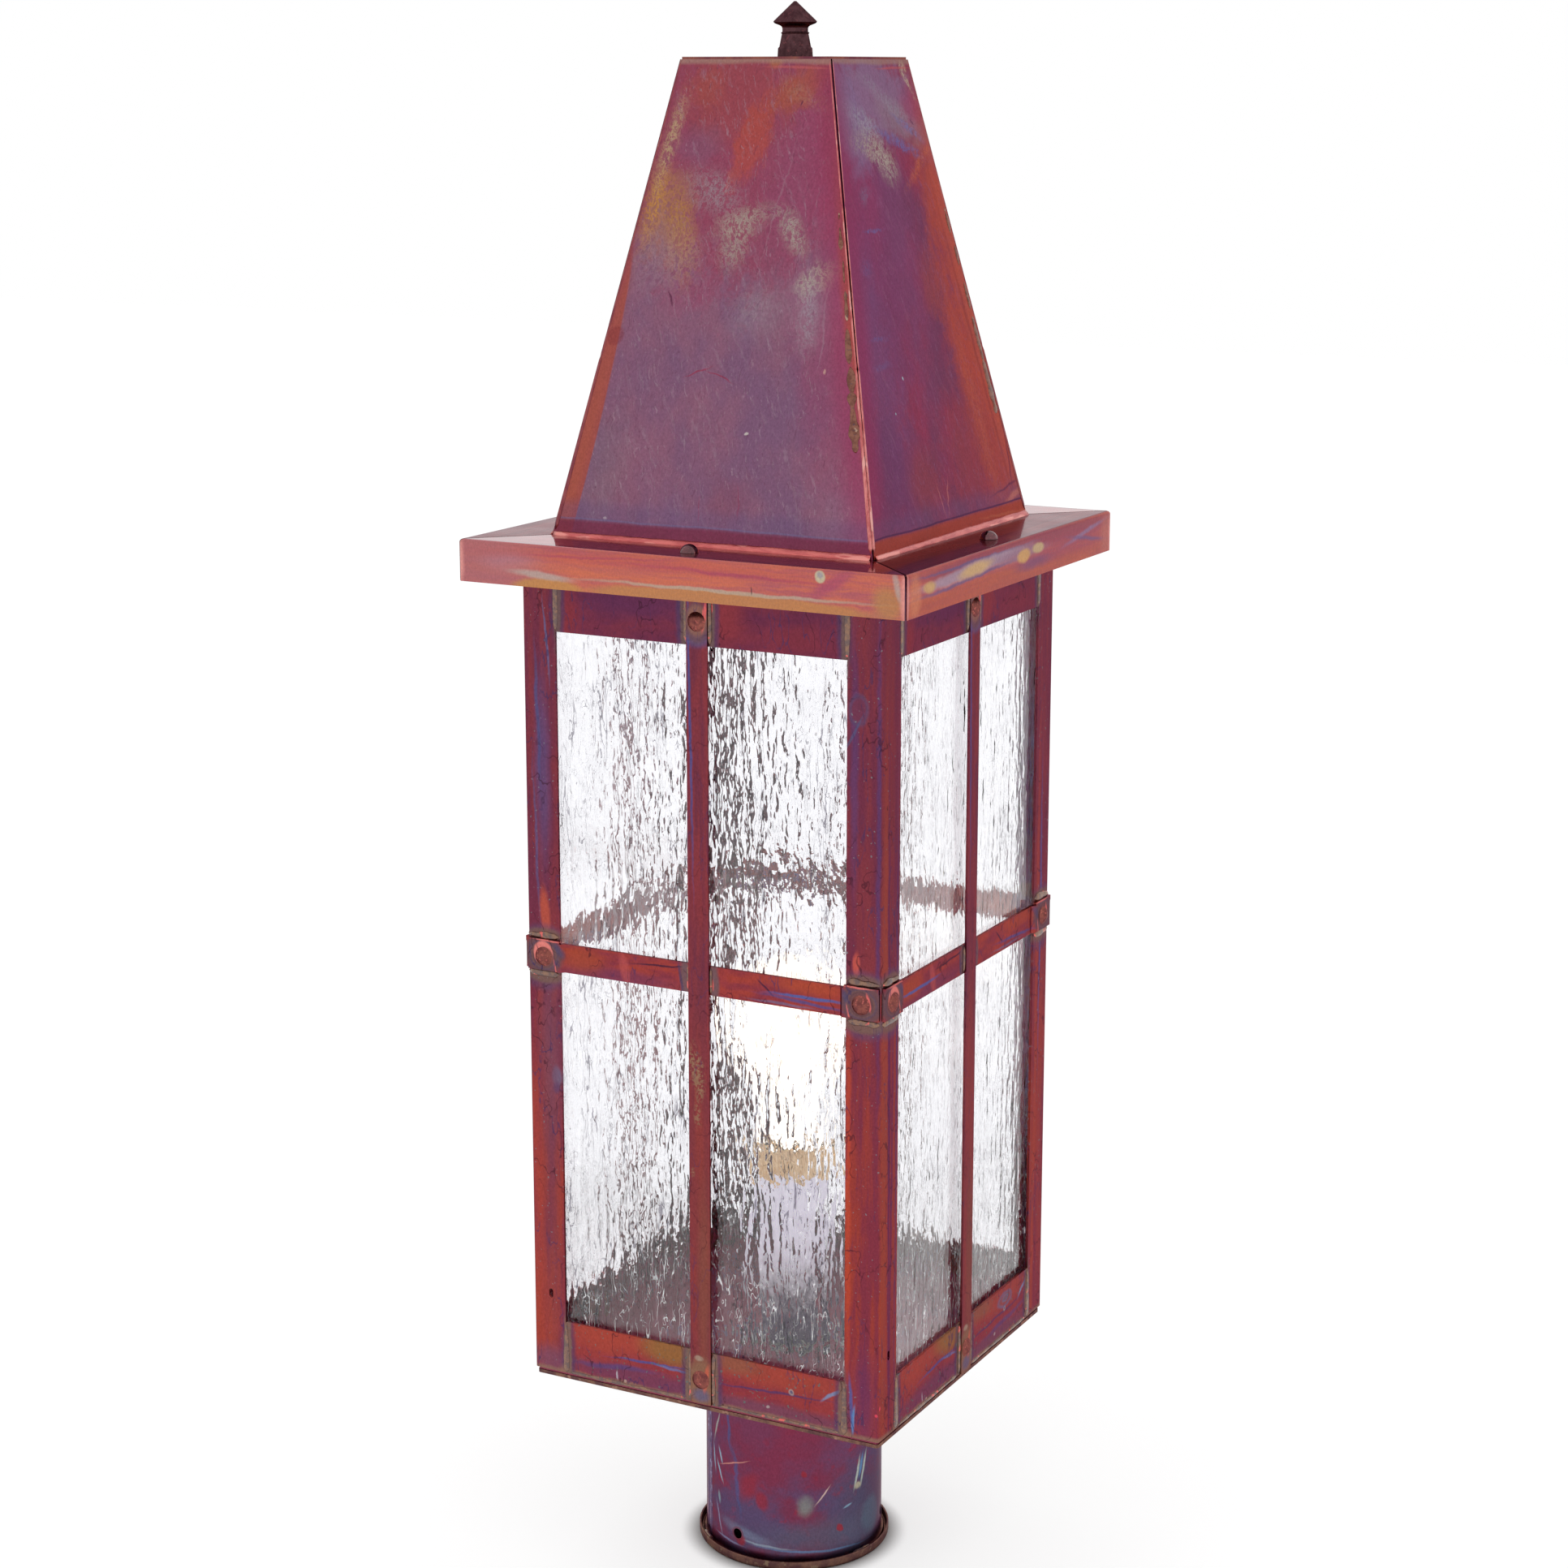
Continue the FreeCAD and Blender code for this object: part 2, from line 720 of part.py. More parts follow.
# ---- roof ----
def roof_half(z):
    """Half the roof's width at a height."""
    return ROOF_TOP_WIDTH / 2 + (ROOF_TOP - z) * ROOF_LEAN


def roof_panel():
    top = ROOF_TOP - ROOF_SHEET
    level = ROOF_SHEET * math.sqrt(1 + ROOF_LEAN ** 2)
    corners = [
        (-roof_half(SKIRT_TOP), SKIRT_TOP),
        (-roof_half(top), top),
        (-roof_half(top) + level, top),
        (-roof_half(SKIRT_TOP) + level, SKIRT_TOP),
    ]
    return along_x(corners, -LONG, LONG).common(wedge(PANEL_GAP, SKIRT_TOP, top))


def roof_cap():
    edge = ROOF_TOP_WIDTH / 2
    corners = [
        (-edge, -edge, CAP_CORNER),
        (edge, -edge, CAP_CORNER),
        (edge, edge, CAP_CORNER),
        (-edge, edge, CAP_CORNER),
    ]
    plate = upright(corners, ROOF_TOP - ROOF_SHEET, ROOF_TOP)
    return plate.cut(rod(STUD_R, UP * (ROOF_TOP - ROOF_SHEET), ROOF_SHEET))


def skirt():
    """A flat flange with its fascia folded down."""
    under = SKIRT_TOP - ROOF_SHEET
    corners = [
        (-SKIRT_INNER, SKIRT_TOP),
        (-SKIRT_HALF, SKIRT_TOP, BEND),
        (-SKIRT_HALF, FASCIA_BOTTOM),
        (-SKIRT_HALF + ROOF_SHEET, FASCIA_BOTTOM),
        (-SKIRT_HALF + ROOF_SHEET, under, BEND - ROOF_SHEET),
        (-SKIRT_INNER, under),
    ]
    piece = along_x(corners, -LONG, LONG).common(wedge(SKIRT_GAP, FASCIA_BOTTOM, SKIRT_TOP))
    return piece.cut(rod(SCREW_HOLE_R, V(0, -SCREW_OUT, under), ROOF_SHEET))


def roof_screw():
    """The front screw: a slotted round head on a plain shank."""
    seat = SKIRT_TOP + SCREW_SEAT
    shank = rod(SCREW_R, UP * (SKIRT_TOP - SCREW_LENGTH), SCREW_LENGTH + SCREW_SEAT)
    head = dome(SCREW_HEAD_R, SCREW_HEAD_H)
    head.translate(UP * seat)
    slot = box(-5, 5, -SCREW_SLOT / 2, SCREW_SLOT / 2, seat + SCREW_HEAD_H - 1.4, seat + SCREW_HEAD_H)
    screw = head.cut(slot).fuse(shank).removeSplitter()
    screw.translate(V(0, -SCREW_OUT, 0))
    return screw


# ---- finial ----
def finial_section():
    """Half width against height above the roof, for the right side of the finial's face."""
    return [
        (5.3, FINIAL_SEAT),
        (5.15, 3.6, 0.4),
        (4.75, 4.2),
        (4.0, 9.5),
        (4.3, 9.9, 0.15),
        (3.85, 10.4),
        (3.85, 12.6, 1.6),
        (6.2, 13.9, 0.5),
        (6.6, 14.6, 0.5),
        (0.35, FINIAL_HEIGHT),
    ]


def finial():
    """A square cap on a waisted neck: two equal faces crossed, so that its arrises mitre."""
    base = ROOF_TOP + FINIAL_SEAT
    right = finial_section()
    left = [(-c[0], *c[1:]) for c in reversed(right)]
    wire = outline(right + left, lambda a, b: V(a, -12, ROOF_TOP + b))
    bar = Part.Face(wire).extrude(V(0, 24, 0))
    cap = bar.common(quarter(bar, 1))
    cap = cap.cut(rod(STUD_R + FINIAL_BORE_GAP, UP * base, STUD_IN_FINIAL + 0.5))
    cap.rotate(V(0, 0, 0), UP, FINIAL_TURN)
    return cap


def finial_stud():
    return rod(STUD_R, UP * STUD_BOTTOM, ROOF_TOP + STUD_IN_FINIAL - STUD_BOTTOM)


def stud_nut():
    """A hexagon nut with a washer face, drawn up under the cap."""
    top = ROOF_TOP - ROOF_SHEET
    nut = hexagon(STUD_NUT_FLATS, STUD_NUT_H, top - STUD_NUT_H)
    nut = nut.fuse(rod(5.6, UP * (top - 1.0), 1.0)).removeSplitter()
    return nut.cut(rod(STUD_R + THREAD_GAP, UP * (top - STUD_NUT_H), STUD_NUT_H))


# ---- the whole lantern ----
def main():
    os.makedirs("parts", exist_ok=True)
    save("fitter_tube", fitter_tube())
    save("fitter_ring", fitter_ring())
    save("base_plate", base_plate())
    save("base_pan", base_pan())
    save_sides("corner_post", corner_post(), CORNERS)
    save_sides("top_rail", top_rail())
    save_sides("bottom_rail", bottom_rail())
    save_sides("mullion", mullion())
    save_sides("strap", strap())
    save_sides("glass_pane", glass_pane())
    save("mullion_rivets", mullion_rivets())
    save("strap_rivets", strap_rivets())
    save("glass_clips", glass_clips())
    save("screw_nuts", screw_nuts())
    save("lamp_flange", lamp_flange())
    save("flange_rivets", flange_rivets())
    save("lamp_nipple", lamp_nipple())
    save("socket_body", socket_body())
    save("screw_shell", screw_shell())
    save("centre_contact", centre_contact())
    save("candle_sleeve", candle_sleeve())
    save("socket_collar", socket_collar())
    save("bulb_envelope", bulb_envelope())
    save("bulb_cap", bulb_cap())
    save("bulb_stem", bulb_stem())
    save("bulb_filament", bulb_filament())
    save_sides("roof_panel", roof_panel())
    save("roof_cap", roof_cap())
    save_sides("skirt", skirt())
    save("finial_stud", finial_stud())
    save("stud_nut", stud_nut())
    save("finial", finial())
    save_sides("roof_screw", roof_screw())


main()
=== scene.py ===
"""Post top lantern: heat-patinated copper, rain-glass panes and a lit bulb.

Metres, +Z up, the front is -Y. Patterns and soldering are worked out in millimetres,
on the front side, and turned round the Z axis for the other three.
"""
import math
import random

import bpy
from mathutils import Matrix, Vector, noise


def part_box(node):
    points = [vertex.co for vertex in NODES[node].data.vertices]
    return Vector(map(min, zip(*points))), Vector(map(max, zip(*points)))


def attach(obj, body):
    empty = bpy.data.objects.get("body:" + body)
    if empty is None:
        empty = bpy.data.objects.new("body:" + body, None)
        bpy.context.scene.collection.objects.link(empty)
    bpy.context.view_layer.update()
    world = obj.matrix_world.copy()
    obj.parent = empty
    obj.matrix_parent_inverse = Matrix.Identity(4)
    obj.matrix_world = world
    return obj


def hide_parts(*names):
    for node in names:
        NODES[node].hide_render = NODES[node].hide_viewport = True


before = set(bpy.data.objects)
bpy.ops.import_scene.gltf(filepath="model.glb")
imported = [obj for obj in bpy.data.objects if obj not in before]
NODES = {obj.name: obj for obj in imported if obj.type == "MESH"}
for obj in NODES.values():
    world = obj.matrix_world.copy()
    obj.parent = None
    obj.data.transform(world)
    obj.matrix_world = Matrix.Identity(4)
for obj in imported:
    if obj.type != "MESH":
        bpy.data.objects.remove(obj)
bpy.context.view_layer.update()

MM = 0.001
SIDES = ("front", "right", "back", "left")
CORNERS = ("front_right", "back_right", "back_left", "front_left")

# sizes in millimetres, as in the part
HALF = 86.0
BODY_BOTTOM = 96.0
RAIL_LOW_TOP = 120.2
STRAP_LOW, STRAP_HIGH = 282.2, 294.9
WINDOW_TOP = 432.3
FASCIA_LOW = 454.2
SKIRT_TOP = 472.2
SKIRT_HALF = 105.0
ROOF_TOP = 671.0
ROOF_LEAN = 41.0 / 198.8
TUBE_R = 40.6

# the camera as fitted to the photo: metres, degrees, and the lens in millimetres
CAMERA_PLACE = (0.628556, -1.186599, 0.664771)
CAMERA_AZIMUTH, CAMERA_ELEVATION = 28.1122, 11.9609
CAMERA_LENS, CAMERA_SHIFT = 71.357, -0.03416
LAMPS_AIM = (0, 0, 0.38)

SMOOTH = {"interpolation_type": "SMOOTHSTEP"}
# bare sheet copper under a thin clear lacquer
COPPER = {"metallic": 1.0, "specular_tint": "#c6b0b6", "coat_weight": 0.12, "coat_roughness": 0.12, "coat_ior": 1.5}


def roof_half(z):
    """Half the roof's width at a height."""
    return 35.5 + (ROOF_TOP - z) * ROOF_LEAN


# ---------------------------------------------------------------- colour and node helpers
def tone(code):
    """An sRGB hex colour as linear RGBA."""
    channels = [int(code[i:i + 2], 16) / 255 for i in (1, 3, 5)]
    linear = [c / 12.92 if c <= 0.04045 else ((c + 0.055) / 1.055) ** 2.4 for c in channels]
    return (*linear, 1.0)


def feed(node, links):
    """Gives each named input of a node a number, a hex colour, a node or a socket."""
    for key, value in links.items():
        socket = node.inputs[key] if isinstance(key, int) else next(
            s for s in node.inputs if s.name == key and s.enabled)
        if isinstance(value, bpy.types.Node):
            value = next(s for s in value.outputs if s.enabled)
        if isinstance(value, bpy.types.NodeSocket):
            node.id_data.links.new(value, socket)
        else:
            socket.default_value = tone(value) if isinstance(value, str) else value


def add(tree, kind, links, **settings):
    """One node with its settings and what its inputs take."""
    node = tree.nodes.new("ShaderNode" + kind)
    for key, value in settings.items():
        setattr(node, key, value)
    feed(node, links)
    return node


def emptied(owner):
    """The node tree of a new material or world, with nothing in it."""
    owner.use_nodes = True
    owner.node_tree.nodes.clear()
    return owner.node_tree


def new_material(name, **shader_values):
    """A material with only its shader; the keywords are the shader's own settings."""
    material = bpy.data.materials.new(name)
    tree = emptied(material)
    shader = add(tree, "BsdfPrincipled", {
        key.replace("_", " ").title().replace("Ior", "IOR"): value for key, value in shader_values.items()})
    add(tree, "OutputMaterial", {"Surface": shader})
    return material, tree, shader


def side_place(tree, side, flat=True):
    """The surface's place in millimetres with that side turned to the front: (across, height, depth)."""
    where = add(tree, "TexCoord", {}).outputs["Object"]
    turn = (0, 0, -math.pi / 2 * side)
    place = add(tree, "Mapping", {"Vector": where, "Rotation": turn, "Scale": (1 / MM,) * 3})
    parts = add(tree, "SeparateXYZ", {"Vector": place})
    if not flat:
        return parts
    return add(tree, "CombineXYZ", {"X": parts.outputs["X"], "Y": parts.outputs["Z"], "Z": parts.outputs["Y"]})


def grain(tree, place, size, seed=0.0, detail=3.0, rough=0.5):
    """Soft noise whose lumps are about size = (across, height) millimetres."""
    scale = (1 / size[0], 1 / size[1], 1 / size[0])
    fitted = add(tree, "Mapping", {"Vector": place, "Scale": scale})
    return add(tree, "TexNoise", {"Vector": fitted, "W": seed, "Scale": 1.0, "Detail": detail, "Roughness": rough},
               noise_dimensions="4D")


def between(value, low, high, top=1.0):
    """Inputs for a threshold: 0 below low and top above high, or the other way round if low is above high."""
    return {"Value": value, "From Min": low, "From Max": high, "To Min": 0.0, "To Max": top}


def lay(tree, below, above, pattern, low=None, high=None, top=1.0):
    """Lays a colour over another by a pattern's own strength, or where the pattern passes from low to high."""
    if low is not None:
        pattern = add(tree, "MapRange", between(pattern, low, high, top), **SMOOTH)
    return add(tree, "Mix", {"Factor": pattern, "A": below, "B": above}, data_type="RGBA")


def wander(tree, place, seed, *pushes):
    """The place pushed about by noise, so that the marks laid on it get ragged edges; a push is (size, amount)."""
    for i, (size, amount) in enumerate(pushes):
        cloud = grain(tree, place, (size, size), seed + i / 2).outputs["Color"]
        pushed = add(tree, "VectorMath", {0: cloud, 1: (2 * amount,) * 3, 2: place}, operation="MULTIPLY_ADD")
        place = add(tree, "VectorMath", {0: pushed, 1: (amount,) * 3}, operation="SUBTRACT")
    return place


def away_from(tree, value, level):
    """How far a value is from a level: thin lines of it follow the contours of a pattern."""
    off = add(tree, "Math", {0: value, 1: level}, operation="SUBTRACT")
    return add(tree, "Math", {0: off}, operation="ABSOLUTE")


def strokes(table):
    """Strokes from a table, each: hex colour, across, height, half width, half height, turn, softness, strength."""
    rows = [row.split() for row in table.split(",")]
    return [(row[0], *(float(v) for v in row[1:])) for row in rows]


def both_ways(table):
    """Strokes, and the same ones as far on the other side of the middle."""
    return [(code, s * x, *rest) for s in (-1, 1) for code, x, *rest in strokes(table)]


def marks(tree, colour, place, drawn, fray=0.0, crackle_size=(6, 9), threads=0.0):
    """Lays oval strokes over a colour.

    fray eats into their edges with a crackle of crackle_size millimetres; threads is the share of each stroke
    that lies only along the crackle's own wavy lines."""
    if fray:
        crackle = grain(tree, place, crackle_size, 77.0, 6.0, 0.7)
        frayed = add(tree, "Math", {0: crackle, 1: fray, 2: -fray / 2}, operation="MULTIPLY_ADD")
    if threads:
        thread = add(tree, "MapRange", {"Value": away_from(tree, crackle, 0.5), "From Min": 0.012, "From Max": 0.05,
                                        "To Min": 1.0, "To Max": 1 - threads}, **SMOOTH)
    for code, x, y, half_x, half_y, turn, soft, strength in drawn:
        local = add(tree, "Mapping", {
            "Vector": place, "Location": (x, y, 0), "Rotation": (0, 0, math.radians(turn)),
            "Scale": (half_x, half_y, 1e6)}, vector_type="TEXTURE")
        reach = add(tree, "VectorMath", {0: local}, operation="LENGTH").outputs["Value"]
        if fray:
            reach = add(tree, "Math", {0: reach, 1: frayed}, operation="ADD")
        share = add(tree, "MapRange", between(reach, 1 + soft, max(0.0, 1 - soft), strength), **SMOOTH)
        if threads:
            share = add(tree, "Math", {0: share, 1: thread}, operation="MULTIPLY")
        colour = lay(tree, colour, code, share)
    return colour


def lacquered_copper(tree, shader, place, colour, seed, dents=0.25, gloss=0.34, veins=0.0):
    """Sheet copper, torch-coloured and lacquered: soft sheen, rolling lines and hammered-out unevenness."""
    if veins:
        # thin tide lines, where the lacquer ran and dried
        for patch, code in (((9, 30), "#3e3058"), ((14, 20), "#3a1626")):
            off = away_from(tree, grain(tree, place, patch, seed + patch[0], 3.0), 0.5)
            line = add(tree, "MapRange", between(off, 0.010, 0.003, veins), **SMOOTH)
            cloud = grain(tree, place, (18, 24), seed + patch[1])
            broken = add(tree, "MapRange", between(cloud, 0.46, 0.58), **SMOOTH)
            colour = lay(tree, colour, code, add(tree, "Math", {0: line, 1: broken}, operation="MULTIPLY"))
    specks = add(tree, "MapRange", {"Value": grain(tree, place, (0.9, 1.3), seed + 3, 2.0, 0.7), "From Min": 0.3,
                                    "From Max": 0.7, "To Min": 0.86, "To Max": 1.14})
    rough = add(tree, "MapRange", {"Value": grain(tree, place, (14, 22), seed + 5), "From Min": 0.3,
                                   "From Max": 0.7, "To Min": gloss - 0.06, "To Max": gloss + 0.08})
    sheet = add(tree, "Bump", {"Height": grain(tree, place, (26, 34), seed + 7, 1.0), "Distance": 0.001,
                               "Strength": dents})
    skin = add(tree, "Bump", {"Height": grain(tree, place, (1.1, 3.5), seed + 9, 3.0, 0.6), "Distance": 0.00012,
                              "Strength": 0.35, "Normal": sheet})
    feed(shader, {"Base Color": add(tree, "HueSaturation", {"Value": specks, "Color": colour}), "Roughness": rough,
                  "Normal": skin})


def dress(material, *names):
    """Gives the named nodes of the part a material."""
    for name in names:
        for slot in NODES[name].material_slots:
            slot.material = material


# ---------------------------------------------------------------- roof
ROOF_WASHES = (
    # front: mauve below, torch-red above
    strokes("""
        #8d4259 -4 640 52 58 0 0.35 0.95, #8b4763 26 618 13 34 -10 0.5 0.8, #94444a -8 655 26 18 -6 0.45 0.75,
        #a84a40 2 637 8 19 -22 0.3 0.7, #a0745c -36 606 13 17 -8 0.6 0.45, #a2503c -20 658 7 8 20 0.6 0.35,
        #a0523c 24 659 16 7 35 0.5 0.7, #7d556f -22 636 9 7 30 0.6 0.5, #8c4362 -20 574 13 7 15 0.6 0.4,
        #8a4a60 14 590 16 10 0 0.7 0.4, #8d7f92 38 571 9 12 20 0.8 0.4, #8a7b8c 12 566 10 8 0 0.8 0.25,
        #82677f 62 492 9 7 0 0.8 0.5, #7c6470 -54 500 9 22 -12 0.8 0.4, #85424f 6 492 8 9 0 0.8 0.3,
        #94395a 40 545 7 40 13 0.8 0.35"""),
    # right: grey-blue at the top, purple below, torch-orange along the far edge
    strokes("""
        #803f68 -30 600 30 60 0 0.6 0.6, #704870 -46 560 16 60 8 0.7 0.7, #6c3c62 -48 500 18 22 0 0.7 0.7,
        #78466c -2 590 13 50 0 0.8 0.5, #ae4a34 46 530 14 62 12 0.6 0.8, #954042 36 505 26 26 0 0.7 0.6,
        #93403f -18 497 15 12 0 0.6 0.5, #9c4842 22 575 10 13 20 0.6 0.5, #a84a38 36 612 10 24 10 0.7 0.75,
        #866a88 -4 655 38 16 -4 0.35 0.85, #80688a -28 645 13 22 10 0.5 0.8, #8b7580 18 645 20 8 -16 0.6 0.6,
        #92345a 30 650 10 8 0 0.6 0.6"""),
    # back: as the front, free
    strokes("""
        #8d4259 6 632 50 52 0 0.4 0.9, #994a50 12 652 24 18 14 0.5 0.8, #66486e 40 520 22 30 0 0.8 0.5"""),
    # left: as the right, free
    strokes("""
        #7a3f66 22 596 34 60 0 0.6 0.6, #a2483c -46 560 10 58 -12 0.5 0.8, #954042 -20 500 30 20 0 0.6 0.6,
        #8a7088 6 652 34 17 8 0.4 0.8, #66486e 44 520 20 40 0 0.8 0.6"""),
)
ROOF_DEPOSITS = (
    # gold and grey, crackled, as the flame left them
    strokes("""
        #b8823e -42 611 6 16 -12 0.6 0.95, #a8763e -28 600 7 18 10 0.7 0.85,
        #b09472 -36 636 3.4 17 -15 0.7 0.85, #958a90 -13 616 12 7 -25 0.8 0.6, #a09488 2 604 11 5 22 0.8 0.85,
        #a09488 -2 593 5 8 -30 0.8 0.7, #a0968c 25 600 10 4 -48 0.8 0.85, #a8a090 40 581 10 5 34 0.7 0.9,
        #98929a 37 568 4 12 -8 0.9 0.5, #94868c 12 570 9 7 0 0.9 0.35, #a06a58 27 655 12 3 -32 0.8 0.7,
        #9a7c86 -34 588 14 10 20 0.9 0.5"""),
    strokes("""
        #a4988c -12 633 15 6 -18 0.7 0.85, #a8a094 -2 626 9 6 -25 0.7 0.85, #9c98a4 -16 643 14 4 -24 0.8 0.7,
        #94909c 10 652 22 3 -24 0.8 0.5, #6668a0 14 635 20 2 -13 0.7 0.8, #7274a4 24 642 12 1.4 -22 0.7 0.8,
        #b8a48c 28 665 2.6 3.6 20 0.5 0.9, #b0a490 31 659 1.4 5 40 0.5 0.9, #60669a -26 601 7 0.8 0 0.7 0.8,
        #5c5c90 -38 557 8 0.9 0 0.8 0.6, #646090 -40 546 7 1.2 4 0.8 0.5, #605c8c -38 586 4 3 0 0.8 0.5,
        #70708e -28 614 4 3 20 0.7 0.5, #c06a48 30 628 16 1.6 35 0.8 0.6, #b8604a 44 520 5 30 12 0.9 0.5"""),
    strokes("""
        #a2744e 38 604 9 18 14 0.6 0.8, #958390 8 600 16 7 20 0.7 0.6, #a0968c -22 588 12 4 -30 0.7 0.8"""),
    strokes("""
        #a4988c 14 630 14 5 20 0.6 0.8, #6668a0 -10 638 18 1.8 14 0.6 0.7"""),
)
ROOF_SCRATCHES = (
    strokes("""
        #8f2f47 -12 543 6 0.4 24 0.6 0.7, #8f2f47 -3 542 5 0.35 -24 0.6 0.7, #8a3550 12 492 0.4 6 8 0.5 0.45,
        #8a3550 -6 488 0.4 5 6 0.5 0.4, #9c7c88 17 610 0.35 26 -14 0.6 0.3, #9c8a98 44 566 0.4 14 -8 0.6 0.5,
        #5a2c44 -29 571 0.5 3.2 30 0.5 0.8, #5a2c44 25 652 0.4 1.2 -20 0.4 0.8,
        #c8a898 46 547 0.5 0.8 0 0.4 0.8, #c4bcb4 12 519 0.4 0.5 0 0.4 0.8, #b8a8ac -51 481 0.6 0.6 0 0.4 0.7,
        #a8663c 11 669 3.5 2.6 0 0.5 0.6"""),
    strokes("""
        #a8c0c8 -23 540 0.6 0.7 0 0.4 0.8, #9cb4bc -34 527 0.5 0.5 0 0.4 0.8, #b0686c -5 488 0.4 8 14 0.5 0.7,
        #b0686c 1 489 0.4 8 -12 0.5 0.7, #4a2c4c 28 645 0.4 2 40 0.5 0.7"""),
    strokes("#8f2f47 -20 530 12 0.5 14 0.6 0.6"),
    strokes("#b0686c 4 520 0.4 9 14 0.5 0.6"),
)


def roof_copper(side):
    """Torch-patinated sheet copper: mauve oxide, red along the hips, gold and grey flares where the flame stood."""
    material, tree, shader = new_material("torch_patinated_roof_copper_" + SIDES[side], **COPPER)
    place = side_place(tree, side)
    loose = wander(tree, place, side, (26, 5), (5, 1.6))
    cool = side % 2 == 0
    broad = grain(tree, place, (30, 46), side * 3.1, 4.0, 0.6)
    colour = lay(tree, "#785470" if cool else "#713c5a", "#87596f" if cool else "#8a3852", broad, 0.36, 0.64)
    colour = marks(tree, colour, loose, ROOF_WASHES[side], 1.8)
    brushed = add(tree, "Mapping", {"Vector": loose, "Rotation": (0, 0, math.radians(-24))})
    brush = grain(tree, brushed, (2.2, 26), side + 8.0, 4.0, 0.7)
    colour = lay(tree, colour, "#9a8290" if cool else "#94607c", brush, 0.52, 0.70, 0.3)
    darker = grain(tree, brushed, (3.0, 18), side + 18.0, 4.0, 0.7)
    colour = lay(tree, colour, "#6e3850" if cool else "#602c50", darker, 0.55, 0.70, 0.28)
    colour = marks(tree, colour, loose, ROOF_DEPOSITS[side], 3.2, (2.8, 3.8), 0.78)
    colour = marks(tree, colour, loose, ROOF_SCRATCHES[side])
    for code, seed, turn in (("#a48c98" if cool else "#96688c", 40.0, -10), ("#5c2c46", 44.0, 12)):
        swept = add(tree, "Mapping", {"Vector": loose, "Rotation": (0, 0, math.radians(turn))})
        colour = lay(tree, colour, code, grain(tree, swept, (0.9, 14), side + seed, 2.0, 0.6), 0.60, 0.70, 0.34)
    # distance from the two hips, and the height above the base
    parts = add(tree, "SeparateXYZ", {"Vector": place})
    half = add(tree, "Math", {0: parts.outputs["Y"], 1: -ROOF_LEAN, 2: 35.5 + ROOF_TOP * ROOF_LEAN},
               operation="MULTIPLY_ADD")
    to_right = add(tree, "Math", {0: half, 1: parts.outputs["X"]}, operation="SUBTRACT")
    to_left = add(tree, "Math", {0: half, 1: parts.outputs["X"]}, operation="ADD")
    by_right = add(tree, "CombineXYZ", {"X": to_right, "Y": parts.outputs["Y"]})
    by_left = add(tree, "CombineXYZ", {"X": to_left, "Y": parts.outputs["Y"]})
    ragged_right = wander(tree, by_right, side + 2.0, (9, 1.5))
    ragged_left = wander(tree, by_left, side + 3.0, (40, 0.5))
    if cool:
        colour = marks(tree, colour, ragged_right, strokes("""
            #94395a 0 555 14 110 0 0.55 0.75, #a84c3c 0 575 4 54 0 0.6 0.8, #8d3a52 0 640 7 60 0 0.6 0.6"""))
        colour = marks(tree, colour, ragged_left, strokes("""
            #9a4b47 0 470 9.4 124 0 0.035 0.95, #a5553e 4 470 3.5 90 0 0.8 0.5, #8a3e50 0 640 4 60 0 0.6 0.7,
            #7c2f36 5 556 4 4 0 0.2 0.45"""))
    else:
        colour = marks(tree, colour, ragged_left, strokes("#8b3558 0 560 12 120 0 0.6 0.7"))
        # by the right hip, the two pale lines low in the base band (#e09a7c, #d07a5c) are painted highlights
        colour = marks(tree, colour, ragged_right, strokes("""
            #b8563e 0 556 11 92 0 0.6 0.75, #74282f 9 545 1 60 0 0.9 0.4, #c0706a 0 600 1.5 110 0 0.5 0.7,
            #5c2440 14 486 14 0.5 -8 0.7 0.7, #5c2440 4.5 497 0.5 11 14 0.7 0.7,
            #e09a7c 20 475 26 0.6 2 0.6 0.8, #d07a5c 8 482 9 1.2 -14 0.7 0.7"""))
    # heat bands along the soldered base, and the worn top edge
    upright = add(tree, "CombineXYZ", {"X": parts.outputs["X"], "Y": parts.outputs["Y"]})
    band, line = ("#742c44", "#66729c") if cool else ("#a2442e", "#43284f")
    colour = marks(tree, colour, wander(tree, upright, side, (30, 1.2)), strokes(f"""
        #5e5078 0 482 900 4.5 0 0.7 0.28, {band} 0 472 900 7.2 0 0.2 0.85,
        {line} 6 479.6 900 0.4 0 0.7 {0.3 if cool else 0.8}, #a08274 0 670 900 1.8 0 0.5 0.6,
        #b55a5c 20 666.6 14 0.5 0 0.5 0.6"""))
    dust = grain(tree, place, (0.8, 0.8), side + 30, 1.0)
    colour = lay(tree, colour, "#54263c", dust, 0.70, 0.76, 0.5)
    lacquered_copper(tree, shader, place, colour, side * 10.0, dents=0.3, gloss=0.36)
    return material


def cap_copper():
    """The same sheet on top, browner, with a soldered rim."""
    material, tree, shader = new_material("torch_patinated_cap_copper", **COPPER)
    place = side_place(tree, 0, flat=False)
    place = add(tree, "CombineXYZ", {"X": place.outputs["X"], "Y": place.outputs["Y"]})
    broad = grain(tree, place, (14, 14), 4.0, 4.0, 0.6)
    colour = lay(tree, "#6a3442", "#8c5548", broad, 0.35, 0.65)
    colour = marks(tree, colour, wander(tree, place, 0.0, (8, 2)), strokes("#9a6a44 0 0 14 14 0 0.6 0.7"))
    lacquered_copper(tree, shader, place, colour, 44.0)
    return material


